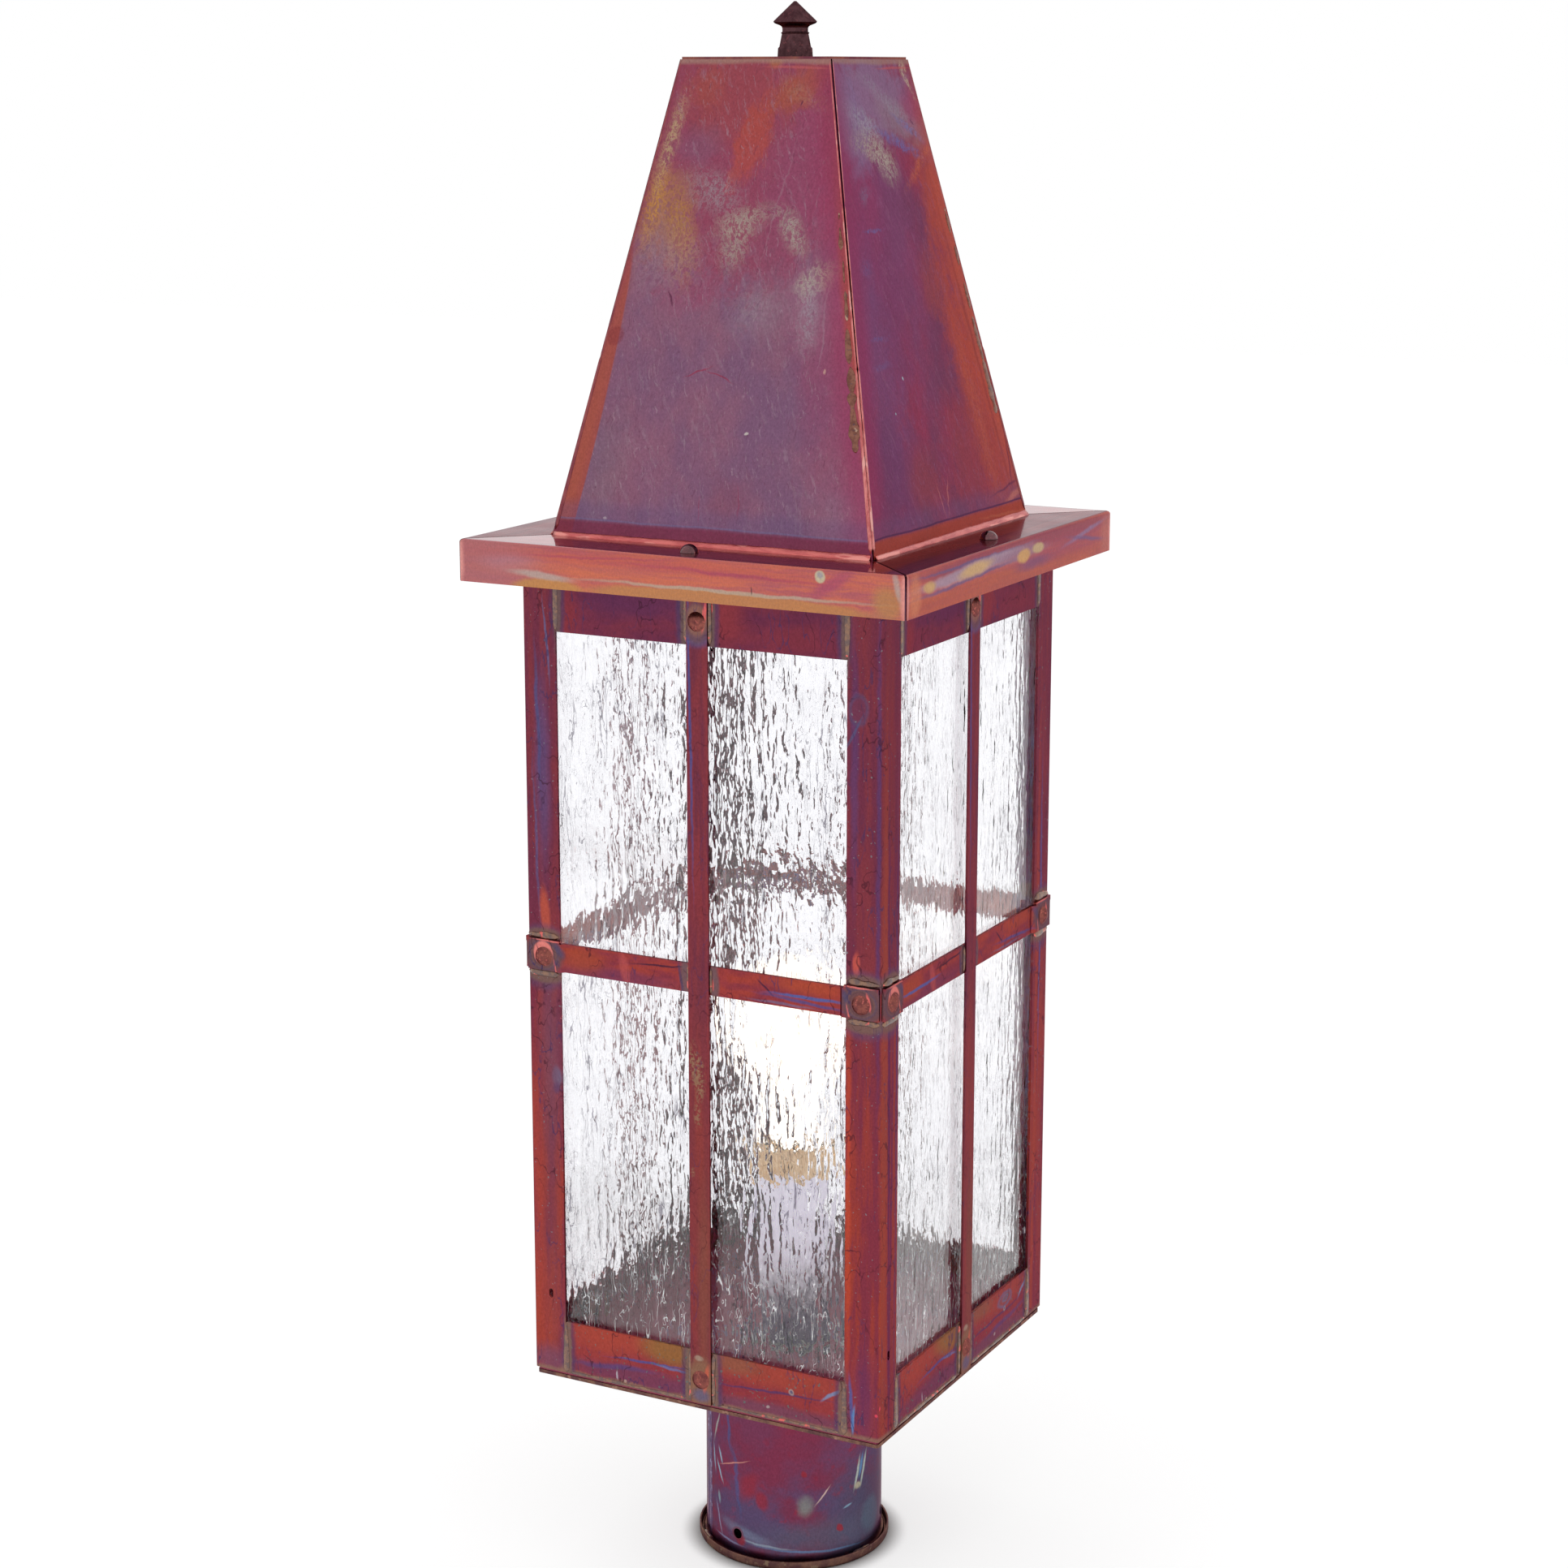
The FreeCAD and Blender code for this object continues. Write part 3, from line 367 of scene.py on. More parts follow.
# ---------------------------------------------------------------- skirt
SKIRT_MARKS = (
    # front fascia
    strokes("""
        #a35a60 -95 -8 30 14 0 0.5 0.85, #a26c7c -80 -8 12 3.5 0 0.7 0.6, #b2453a -10 -4 70 3 0 0.7 0.55,
        #c2603c -30 -10 50 3 0 0.7 0.5, #9c2f4e 30 -5.6 44 0.7 -1 0.7 0.7, #9c2f4e -40 -3.4 26 0.6 2 0.7 0.6,
        #9a3358 72 -6 10 2.6 30 0.6 0.7, #b0743c 25 -17.5 66 4.6 0 0.16 0.85,
        #ab9a86 25 -12.8 62 0.75 0 0.5 0.75, #b57c38 -61 -18 17 4.4 0 0.2 0.85,
        #a8968e -64 -12.6 14 1.4 -4 0.5 0.8, #a8763c 97 -12 6 7 25 0.5 0.7, #a8a09a 101 -5 1.2 6 15 0.6 0.6,
        #b9ab8c 67 -3 2.3 2.4 0 0.2 0.95, #8f8690 67 -2.4 1.4 1.2 0 0.5 0.8,
        #3a1c20 36 -11.5 0.3 1.6 10 0.4 0.8"""),
    # right fascia: a flux run with gold beads in it
    strokes("""
        #842f48 10 -3 120 3.6 0 0.5 0.85, #a84a30 -20 -15 120 4.5 0 0.4 0.75, #96384e 60 -9 50 5 0 0.6 0.7,
        #5f3a6e 20 -12 16 2.2 0 0.7 0.6, #4c4a7c -42 -9.4 52 0.8 2 0.6 0.75, #4c4a7c -40 -3 52 0.7 0 0.6 0.7,
        #9c8698 -40 -6 52 2.6 2 0.35 0.9, #8e6a80 5 -6.5 26 2.4 0 0.5 0.8, #c39a5e -84 -7.6 5.5 2.2 0 0.4 0.9,
        #c4a068 -40 -6.4 15 2.4 3 0.5 0.9, #c89a58 9 -7.6 6.5 2.8 0 0.3 0.9, #bba274 24 -6.4 6 2.2 0 0.3 0.9,
        #7f6f98 76 -6 20 1 8 0.7 0.7, #5c4a7c 78 -9 18 0.8 -8 0.7 0.7, #b3685a 100 -10 6 9 0 0.6 0.6,
        #c87a52 -97 -10 5 9 0 0.5 0.6"""),
)


def skirt_copper(side):
    """Bright torch-orange sheet, bent over a brake; glossy lacquer that mirrors the roof at a low angle."""
    lacquer = {"coat_weight": 0.4 if side % 2 else 1.0, "coat_roughness": 0.05, "specular_tint": "#d0b8bc"}
    material, tree, shader = new_material("lacquered_skirt_copper_" + SIDES[side], **{**COPPER, **lacquer})
    parts = side_place(tree, side, flat=False)
    over = add(tree, "Math", {0: parts.outputs["Z"], 1: parts.outputs["Y"]}, operation="ADD")
    drop = add(tree, "Math", {0: over, 1: SKIRT_TOP - SKIRT_HALF}, operation="SUBTRACT")
    place = add(tree, "CombineXYZ", {"X": parts.outputs["X"], "Y": drop, "Z": float(side * 50)})
    loose = wander(tree, place, side, (22, 1.6), (4, 0.5))
    runs = grain(tree, loose, (34, 2.4), side * 2.3, 4.0, 0.65)
    colour = lay(tree, "#bd5b44", "#a54a52", runs, 0.40, 0.62)
    colour = marks(tree, colour, loose, SKIRT_MARKS[side % 2])
    ends = both_ways("#d98d86 105.4 -9 2.6 12 0 0.5 0.9")
    colour = marks(tree, colour, wander(tree, place, side, (5, 0.8)), ends)
    # the flange on top, above the bend, with painted light: pale pink on the front and back for the white room it
    # mirrors, dark crimson on the two sides as painted shade
    top_runs = grain(tree, loose, (40, 5), side * 2.3 + 9, 3.0, 0.6)
    dark, light = ("#743440", "#8c3e48") if side % 2 else ("#b0525e", "#cc666e")
    flange = marks(tree, lay(tree, dark, light, top_runs, 0.38, 0.62), place, strokes("""
        #6a3550 0 3 900 1.6 0 0.6 0.5, #b3605e 0 9.5 900 0.7 0 0.8 0.35"""))
    colour = lay(tree, colour, flange, drop, 0.2, 1.2)
    lacquered_copper(tree, shader, place, colour, side * 10.0 + 60, dents=0.08, gloss=0.28)
    return material


# ---------------------------------------------------------------- frame
POST_MARKS = {
    0: strokes("""
        #7a3138 5 380 5 70 0 0.7 0.7, #9c4430 3.5 230 3 150 0 0.6 0.75, #5a2450 7.6 240 1 130 0.6 0.7 0.85,
        #5a2450 10.6 210 0.8 110 -0.6 0.7 0.8, #4f3566 14.5 260 0.7 120 0 0.7 0.7,
        #8f3b34 12.5 200 1.4 90 0 0.7 0.7, #5c3a66 -13 388 1.6 46 0 0.7 0.7, #4c4c70 -11 412 4.4 6.4 0 0.25 0.75,
        #6f3248 -11 412 3.6 5.4 0 0.25 0.9, #4c5478 -13.4 402 0.5 9 -30 0.6 0.6, #503a6c -1.6 360 1 90 0 0.7 0.6,
        #b5452f -15 200 1.2 75 0 0.6 0.8, #5a2f5c -7 112 5 22 0 0.7 0.6, #5a86b8 -12.4 104 0.8 6 -6 0.5 0.9,
        #4a5a98 -13.4 112 0.7 10 4 0.6 0.8, #c2564a -11.5 305 1.6 5 0 0.4 0.8, #d8485a 1 111 0.5 0.9 0 0.4 0.9,
        #d8485a -1 108 0.7 0.7 0 0.4 0.9"""),
    # here the front leg is the one past the arris
    3: strokes("""
        #5c4670 9 372 3.4 36 0 0.7 0.8, #48507e 6.8 395 0.8 26 2 0.6 0.65, #59648e 11.8 428 0.5 16 4 0.6 0.7,
        #545480 5.2 340 0.6 30 2 0.6 0.6, #b2503e 9 308 2.4 11 4 0.4 0.85, #6a6a88 13.6 234 2.2 4.6 0 0.4 0.9,
        #40386a 13.4 229 1.6 2.4 0 0.5 0.8, #a0403a 3 170 3 60 0 0.7 0.6, #704458 11 240 5 40 0 0.8 0.7,
        #7a444e 10 150 4 60 0 0.8 0.4, #a24232 5 120 6 26 0 0.8 0.6, #6a4a66 8 101 9 6 0 0.7 0.6"""),
    # the two at the back
    None: strokes("""
        #9c4430 4 230 3 150 0 0.6 0.5, #4d4a80 8.6 330 1 60 0 0.6 0.8, #4d4a80 9 190 0.9 90 0 0.6 0.8,
        #5a3a6a 12.6 300 2.2 150 0 0.7 0.75, #a04234 -12 230 1.6 150 0 0.6 0.75, #9a3f38 -6 210 2.6 80 0 0.7 0.6,
        #4a5a98 -9 290 0.7 60 0 0.6 0.7"""),
}
# heat-browned solder round the strap's ends and along the rails
POST_HALOS = both_ways("""
        #4f4a6c 8.2 297.5 9.5 5.2 0 0.3 0.4, #74564f 8.2 297.5 9.2 3.4 0 0.3 0.85,
        #4f4a6c 8.2 279 9.5 6.2 0 0.3 0.4, #75584f 8.2 279.8 9.2 3.8 0 0.3 0.85""") + both_ways("""
        #4a4668 16.6 104 2.6 20 0 0.5 0.5, #86644f 16.6 104 1.3 20 0 0.4 0.85, #8d6a55 16.6 93 5 6 0 0.4 0.8,
        #463c5c 16.6 446 2.4 20 0 0.5 0.5, #6d5350 16.6 448 1.1 22 0 0.4 0.8""") + strokes("""
        #8a6a5a 0 95.6 20 2 0 0.5 0.8""")


def post_copper(corner):
    """Corner angle: purple-crimson above the strap, torch-red below it, streaked along its length."""
    material, tree, shader = new_material("torch_patinated_post_copper_" + CORNERS[corner], **COPPER)
    parts = side_place(tree, corner, flat=False)
    around = add(tree, "Math", {0: parts.outputs["X"], 1: parts.outputs["Y"]}, operation="ADD")
    place = add(tree, "CombineXYZ", {"X": around, "Y": parts.outputs["Z"], "Z": float(corner * 40)})
    loose = wander(tree, place, corner, (18, 1.6), (5, 0.5))
    streaks = grain(tree, loose, (5, 70), corner * 1.7, 4.0, 0.6)
    streaks = add(tree, "MapRange", between(streaks, 0.38, 0.62), **SMOOTH)
    colour = lay(tree, "#6c2d42", "#7d333d", streaks)
    low = add(tree, "SeparateXYZ", {"Vector": wander(tree, place, corner + 4.0, (60, 40))}).outputs["Y"]
    colour = lay(tree, colour, lay(tree, "#80303f", "#9a3b2f", streaks), low, 330, 190, 0.9)
    colour = marks(tree, colour, loose, POST_MARKS.get(corner, POST_MARKS[None]))
    joints = wander(tree, place, corner + 6.0, (5, 1.0))
    colour = marks(tree, colour, joints, POST_HALOS)
    pits = grain(tree, place, (1.5, 1.5), corner + 31, 1.0)
    colour = lay(tree, colour, "#7c7f86", pits, 0.68, 0.72, 0.6)
    lacquered_copper(tree, shader, place, colour, corner * 10.0 + 110, dents=0.12, veins=0.6)
    return material


def rail_copper(side, low):
    """Rails between the posts: the top ones painted dark for the shade under the skirt, torch-red and olive-gold at
    the foot.
    """
    name = ("bottom" if low else "top") + "_rail_copper_" + SIDES[side]
    material, tree, shader = new_material("torch_patinated_" + name, **COPPER)
    place = side_place(tree, side)
    loose = wander(tree, place, side, (16, 2.0), (4, 0.6))
    patchy = grain(tree, loose, (26, 9), side * 1.9 + low, 4.0, 0.6)
    # painted shade: the top rails' colours are dark, for the shade under the skirt
    dark, light = ("#84323f", "#94393a") if low else ("#652a44", "#752f42")
    colour = lay(tree, dark, light, patchy, 0.38, 0.62)
    if low:
        colour = marks(tree, colour, loose, strokes(f"""
            #a44436 -48 118 26 9 0 0.6 0.8, #a04436 40 116 32 6 0 0.6 0.75, #8f6238 -14 118 16 7 0 0.5 0.9,
            #855a44 16 118 12 4 0 0.6 0.6, #6c3a56 -30 101 40 4.5 0 0.6 0.8, #6f4258 34 99.5 40 3.4 0 0.6 0.8,
            #4e4c86 -26 109.5 18 0.6 3 0.5 0.85, #6a6a98 -14 109 9 0.6 -4 0.5 0.85,
            #51355f 34 108.4 26 0.55 2 0.5 0.8, #7a86a8 63 112.5 5 0.8 38 0.5 0.9,
            #4c4478 {44 if side % 2 else -44} 104 20 1.2 4 0.6 0.6, #b0a8b0 -43 100 0.4 2.2 6 0.4 0.8,
            #c8a8a0 -39 97.8 0.7 0.7 0 0.4 0.8, #a89a98 44 110 1.2 1.4 0 0.3 0.7, #4c4a70 44 110 0.6 0.7 0 0.3 0.8,
            #a89a98 33 101 0.9 0.7 0 0.3 0.7, #8a6a5a 0 95.4 900 2.4 0 0.4 0.85"""))
    else:
        colour = marks(tree, colour, loose, strokes("""
            #84313a -64 440 5 14 0 0.6 0.8, #8a3438 12 444 9 12 0 0.7 0.7, #5a2c50 -30 448 26 6 0 0.7 0.6,
            #7c2f3c 46 438 20 6 0 0.7 0.6"""))
    if low and side % 2:
        # a ring-shaped tide mark
        colour = marks(tree, colour, wander(tree, place, 3.0, (6, 1.4)), strokes("""
            #5c6a90 44 114 7.6 3.6 0 0.25 0.8, #93453c 44 114 6.2 2.6 0 0.3 0.9,
            #6a6c8c 44.5 114.4 3.4 1.7 0 0.3 0.8, #7a5058 44.5 114.4 2.2 0.9 0 0.3 0.8"""))
    # solder at the posts and the mullion
    z, tan = (104, "#7c6054") if low else (446, "#6a5250")
    colour = marks(tree, colour, wander(tree, place, side + 6.0, (4.5, 0.9)), both_ways(f"""
        #453c5e 67.4 {z} 2.6 22 0 0.4 0.6, {tan} 68.6 {z} 1.9 24 0 0.3 0.9,
        #453c5e 7.6 {z} 2.6 22 0 0.4 0.6, {tan} 6 {z} 2.2 24 0 0.3 0.9""") + strokes(f"""
        #e0605c 69.2 {z - 3} 0.5 2.6 0 0.4 0.9, #e0605c 6.6 {z + 2} 0.5 3.2 0 0.4 0.9"""))
    if low:
        pits = grain(tree, place, (1.4, 1.7), side + 31, 1.0)
        colour = lay(tree, colour, "#5c6a68", pits, 0.66, 0.71, 0.75)
    lacquered_copper(tree, shader, place, colour, side * 10.0 + (160 if low else 210), dents=0.12, veins=0.6)
    return material


def strap_copper(side):
    """Horizontal strap: torch-red with a dark wavy tide line, greyed and raw pink at its riveted ends, with painted
    highlights as thin pink lines along their edges.
    """
    material, tree, shader = new_material("torch_patinated_strap_copper_" + SIDES[side], **COPPER)
    place = side_place(tree, side)
    loose = wander(tree, place, side, (14, 1.2), (4, 0.4))
    patchy = grain(tree, loose, (22, 7), side * 2.9, 4.0, 0.6)
    colour = lay(tree, "#83333f", "#9c3d35", patchy, 0.38, 0.62)
    colour = marks(tree, colour, loose, strokes(f"""
        #6d3552 -40 284 30 3.4 0 0.6 0.7, #a1472f -58 289 10 5 0 0.6 0.7, #a84830 50 292 16 3 0 0.6 0.7,
        #b3504e -37 288 2.2 7 14 0.4 0.6, #3f2038 -18 292.2 14 0.45 4 0.5 0.85, #3f2038 32 289 5 0.45 -40 0.5 0.85,
        #4d4a80 50 285.4 18 0.7 -3 0.6 0.8, #6a6a8c 40 283.4 14 0.5 0 0.6 0.6,
        #4e5c98 {-50 if side % 2 else 52} 287.6 17 0.7 1 0.5 0.9, #6c5358 -7 288 2.2 9 0 0.4 0.9,
        #6c5358 7 288 2.2 9 0 0.4 0.9, #463c5c -9.2 288 0.7 7 8 0.5 0.7, #c8605c 6.3 287 0.4 2.4 0 0.4 0.8"""))
    # at the riveted ends, the thin pink lines along the top and inner edges (#d8726c) are painted highlights
    ends = wander(tree, place, side + 6.0, (5, 0.8))
    colour = marks(tree, colour, ends, both_ways("""
        #66484e 77.6 289 10 9 0 0.15 0.95, #4c4660 77.2 289 7.4 6.6 0 0.12 0.6, #74504c 77.2 289 6.7 6 0 0.12 0.9,
        #494668 69.4 292 1.4 3.5 30 0.5 0.6, #3c2c40 77.2 289 5.6 5.4 0 0.1 0.5,
        #70484a 77.2 289 5.1 4.9 0 0.1 0.9, #d8726c 75 295.8 7 0.4 0 0.4 0.8,
        #d8726c 71.4 284 0.4 4 12 0.4 0.8""") + strokes("""
        #e08078 -77.4 290.2 4.9 5.2 0 0.1 0.9, #7a4a48 -76.8 288.4 4.4 4.4 0 0.12 0.9,
        #dd6a66 80.8 290 0.8 3.6 10 0.4 0.85"""))
    lacquered_copper(tree, shader, place, colour, side * 10.0 + 260, dents=0.1, veins=0.6)
    return material


def mullion_copper(side):
    """Upright strip: crimson, rust-red lower down, with a crust of old flux on the front one."""
    material, tree, shader = new_material("torch_patinated_mullion_copper_" + SIDES[side], **COPPER)
    place = side_place(tree, side)
    loose = wander(tree, place, side, (8, 1.0))
    streaks = grain(tree, loose, (3.5, 60), side * 1.3, 4.0, 0.6)
    colour = lay(tree, "#6c2f40", "#82353c", streaks, 0.38, 0.62)
    colour = marks(tree, colour, loose, strokes("""
        #8d3d36 0 180 5 90 0 0.6 0.6, #474f88 -3.4 400 0.6 60 1 0.6 0.8, #7e4b3e 2 150 3 40 0 0.7 0.6,
        #4d5588 0 436 6 4 0 0.5 0.7, #6a4a52 0 442 6.4 9 0 0.2 0.9, #8a5f52 0 443 5 6.6 0 0.2 0.8,
        #dc6460 3.6 445 0.9 6 -8 0.4 0.9, #86604c 0 104 7 13 0 0.25 0.95, #5a5a7c 0 100 4 3 0 0.5 0.7,
        #c8604c 2.6 108 1.2 6 -8 0.4 0.8, #a08878 -1 117 2 1.2 0 0.4 0.8"""))
    if side == 0:
        crust = grain(tree, place, (1.6, 1.8), 5.0, 3.0, 0.7)
        crust = add(tree, "MapRange", between(crust, 0.46, 0.56), **SMOOTH)
        held = marks(tree, "#000000", wander(tree, place, 9.0, (6, 2.4)), strokes("""
            #ffffff -1.6 250 3 9 8 0.5 1, #ffffff 0.6 243 2.2 8 0 0.5 1, #ffffff -0.6 229 1.6 5 0 0.6 0.8,
            #ffffff -3 202 1.2 2 0 0.6 0.8"""))
        held = add(tree, "Math", {0: held, 1: crust}, operation="MULTIPLY")
        colour = lay(tree, colour, "#8f6a54", held)
    lacquered_copper(tree, shader, place, colour, side * 10.0 + 310, dents=0.1, veins=0.4)
    return material


# ---------------------------------------------------------------- foot
def fitter_copper():
    """Rolled tube: crimson and blue-violet oxide, teal-grey towards the foot, with scratches and flux runs."""
    material, tree, shader = new_material("rolled_fitter_copper", **COPPER)
    parts = side_place(tree, 0, flat=False)
    inward = add(tree, "Math", {0: parts.outputs["Y"], 1: -1.0}, operation="MULTIPLY")
    turn = add(tree, "Math", {0: parts.outputs["X"], 1: inward}, operation="ARCTAN2")
    around = add(tree, "Math", {0: turn, 1: TUBE_R}, operation="MULTIPLY")
    place = add(tree, "CombineXYZ", {"X": around, "Y": parts.outputs["Z"]})
    loose = wander(tree, place, 0.0, (18, 4.0), (5, 1.2))
    # the noise runs on the round place, so that it has no seam at the back
    round_place = side_place(tree, 0)
    broad = grain(tree, round_place, (24, 20), 2.0, 5.0, 0.65)
    colour = lay(tree, "#5b4466", "#77324b", broad, 0.38, 0.62)
    blots = grain(tree, round_place, (7, 8), 6.0, 3.0)
    colour = lay(tree, colour, "#8b2c42", blots, 0.60, 0.66, 0.7)
    colour = marks(tree, colour, loose, strokes("""
        #7c3049 12 66 34 26 0 0.6 0.7, #4c4a62 58 20 20 24 0 0.7 0.85, #55566c 30 14 34 7 0 0.7 0.7,
        #57486a -4 22 16 12 0 0.7 0.6, #8e2d3c -2 37 5 7 -30 0.5 0.8, #8e2d3c 5 31 2.6 4 20 0.4 0.8,
        #902c38 25 45 1.4 1.6 0 0.4 0.9, #902c38 41 17 1.6 2 0 0.3 0.9, #7f8480 25 30 3.2 4 15 0.7 0.75,
        #55687a 62 17 7 8 0 0.35 0.6, #4a5484 -14 62 0.7 10 6 0.6 0.7, #4a5484 -9 38 0.8 14 12 0.6 0.65"""))
    tight = wander(tree, place, 3.0, (9, 0.9))
    colour = marks(tree, colour, tight, strokes("""
        #7a6a9a -29.5 34 0.6 40 0 0.5 0.9, #8f86a6 -33.5 40 0.5 36 0 0.5 0.7, #54487c -31.5 34 1.4 44 0 0.6 0.8,
        #8aa6bc -25.4 44 0.6 6 8 0.5 0.9, #93b0c4 -19.6 47 0.6 3.4 20 0.5 0.9,
        #93b0c4 -20.4 39 0.6 5 26 0.5 0.9, #a0a4a0 -23 60 0.6 7 -18 0.5 0.9, #8b8ca8 -21 16 0.5 8 18 0.5 0.8,
        #8aa0a8 -21 26 0.8 2.6 10 0.6 0.8, #aab4ac 51.6 41 0.7 7 -14 0.5 0.9, #aab4ac 56 42 0.7 7.5 -14 0.5 0.9,
        #5a86b0 54.2 44 0.8 5 -14 0.6 0.9, #b0a890 52 34.6 2 1.6 0 0.4 0.8, #7d9ab0 46 26.6 2.2 0.5 15 0.5 0.9,
        #c08078 -11 46 9 0.35 20 0.4 0.9, #c4a8a0 33 34.5 5 0.4 52 0.5 0.9, #8f9cac 5 9.6 12 0.5 -3 0.6 0.8,
        #6280a8 30 7.4 26 0.5 -3 0.6 0.75, #8c8cb0 -14 7.6 8 0.5 -4 0.5 0.8, #7a86a0 -4 13.5 12 2.4 -12 0.7 0.5,
        #8c2c3a -6.2 9.6 2.6 2.4 0 0.4 0.9, #73323f -8.1 12.4 3.4 3.4 0 0.2 0.7"""))
    lacquered_copper(tree, shader, round_place, colour, 360.0, dents=0.15, gloss=0.38)
    return material


def plain_copper(name, dark, light, patch, seed, gloss=0.38, size=9.0, **extra):
    """Heat-browned copper without marks of its own."""
    material, tree, shader = new_material(name, **{**COPPER, **extra})
    place = side_place(tree, 0)
    patchy = grain(tree, place, (size, size), seed, 5.0, 0.65)
    colour = lay(tree, dark, light, patchy, 0.36, 0.64)
    colour = lay(tree, colour, patch, grain(tree, place, (size / 2, size / 2), seed + 1), 0.58, 0.66, 0.8)
    lacquered_copper(tree, shader, place, colour, seed, gloss=gloss)
    return material


def solder_metal(name, dull, warm, raw, raw_share, seed, edge="#4a3c4c", flow=(1, 1), edged=0.6):
    """Soft solder smeared over copper: tan and grey, copper-pink where it was wiped bare."""
    material, tree, shader = new_material(name, metallic=1.0, coat_weight=0.4, coat_roughness=0.12, coat_ior=1.5)
    place = side_place(tree, 0)
    along, up = flow
    runs = grain(tree, place, (3.0 * along, 3.0 * up), seed, 4.0, 0.7)
    colour = lay(tree, dull, warm, runs, 0.40, 0.60)
    bare = grain(tree, place, (4.2 * along, 4.2 * up), seed + 2, 2.0)
    colour = lay(tree, colour, raw, bare, 1 - raw_share, 1.05 - raw_share)
    rim = grain(tree, place, (1.6 * along, 1.6 * up), seed + 4, 2.0)
    colour = lay(tree, colour, edge, rim, 0.60, 0.68, edged)
    bump = add(tree, "Bump", {"Height": grain(tree, place, (1.0, 1.0), seed + 6, 3.0), "Distance": 0.0002,
                              "Strength": 0.6})
    feed(shader, {"Base Color": colour, "Normal": bump, "Roughness": 0.42})
    return material


def turned_metal(name, code, dark, rough, seed):
    """Plain machined or drawn metal with fine turning lines."""
    material, tree, shader = new_material(name, metallic=1.0)
    place = side_place(tree, 0)
    lines = grain(tree, place, (40, 0.5), seed, 2.0)
    feed(shader, {
        "Base Color": lay(tree, dark, code, grain(tree, place, (6, 6), seed + 1), 0.3, 0.6),
        "Roughness": add(tree, "MapRange", {"Value": lines, "To Min": rough - 0.08, "To Max": rough + 0.1}),
        "Normal": add(tree, "Bump", {"Height": lines, "Distance": 0.00005, "Strength": 0.4})})
    return material


def broken_line(tree, place, side, pattern, level, width, patch, share=1.0):
    """A line along a pattern's contour, with gaps where the noise of that patch size is low."""
    line = add(tree, "MapRange", between(away_from(tree, pattern, level), width, width / 3), **SMOOTH)
    cloud = grain(tree, place, patch, side + 15.0 + 10 * level)
    return add(tree, "Math", {0: line, 1: add(tree, "MapRange", between(cloud, 0.47, 0.60, share), **SMOOTH)},
               operation="MULTIPLY")


def rain_glass(side):
    """Clear rolled glass: rivulets run down its outer face, and thin dark lines of painted shade along their steep
    flanks stand in for what those flanks refract.
    """
    material, tree, shader = new_material("rolled_rain_glass_" + SIDES[side], transmission_weight=1.0, ior=1.52,
                                          roughness=0.0)
    # the side panes, seen nearly edge on, are rolled calmer
    calm = 0.35 if side % 2 else 1.0
    place = side_place(tree, side)
    bent = wander(tree, wander(tree, place, side, (14, 1.6)), side + 2.0, (4.2, 0.7))
    rivulets = grain(tree, bent, (3.2, 36), side + 11.0, 1.0, 0.5)
    seeds = grain(tree, bent, (2.5, 6.5), side + 13.0, 1.0)
    height = add(tree, "Math", {0: seeds, 1: 0.9, 2: rivulets}, operation="MULTIPLY_ADD")
    bump = add(tree, "Bump", {"Height": height, "Distance": 0.00048 * calm, "Strength": 1.0})
    # painted shade: thin dark lines where the flank of a rivulet or round a drop is steepest, for the dark the
    # glass refracts there
    colour = "#fdfdff"
    for pattern, level, width, patch, share in (
            (rivulets, 0.50, 0.018, (9, 30), 0.9), (rivulets, 0.39, 0.012, (6, 16), 0.7),
            (seeds, 0.65, 0.016, (12, 20), 0.85)):
        colour = lay(tree, colour, "#4e4658", broken_line(tree, place, side, pattern, level, width, patch,
                                                          share * calm ** 0.4))
    # painted highlights near the foot: bright threads beside them, where the flank throws the room's light forward;
    # there the glass is made partly matt white
    clear = 1.0
    by_foot = add(tree, "SeparateXYZ", {"Vector": place}).outputs["Y"]
    by_foot = add(tree, "MapRange", between(by_foot, 225.0, 150.0, 0.8), **SMOOTH)
    for pattern, level, width, patch in ((seeds, 0.58, 0.014, (5, 9)), (rivulets, 0.56, 0.012, (4, 12))):
        thread = broken_line(tree, place, side, pattern, level, width, patch)
        glint = add(tree, "Math", {0: thread, 1: by_foot}, operation="MULTIPLY")
        clear = add(tree, "Math", {0: clear, 1: glint}, operation="SUBTRACT", use_clamp=True)
    feed(shader, {"Base Color": colour, "Transmission Weight": clear, "Normal": bump})
    return material


def frosted_glass():
    """Blown bulb glass, etched inside, glowing white from the wire behind it."""
    material, tree, shader = new_material("etched_bulb_glass", transmission_weight=0.7, ior=1.5,
                                          emission_color="#fff3e4", emission_strength=0.4)
    place = side_place(tree, 0)
    feed(shader, {"Roughness": add(tree, "MapRange", {"Value": grain(tree, place, (9, 9), 3.0), "To Min": 0.3,
                                                      "To Max": 0.45})})
    return material


def glowing_wire():
    """Tungsten at working heat."""
    return new_material("glowing_tungsten", metallic=1.0, roughness=0.4, base_color="#d8c8b0",
                        emission_color="#ffd9a0", emission_strength=25.0)[0]


def moulded(name, code, rough, seed, **glow):
    """Moulded plastic with a faint mould texture."""
    material, tree, shader = new_material(name, **glow)
    place = side_place(tree, 0)
    shade = add(tree, "MapRange", {"Value": grain(tree, place, (7, 7), seed), "To Min": 0.9, "To Max": 1.08})
    bump = add(tree, "Bump", {"Height": grain(tree, place, (0.8, 0.8), seed + 1), "Distance": 0.0001,
                              "Strength": 0.4})
    feed(shader, {"Base Color": add(tree, "HueSaturation", {"Color": code, "Value": shade}), "Normal": bump,
                  "Roughness": rough})
    return material


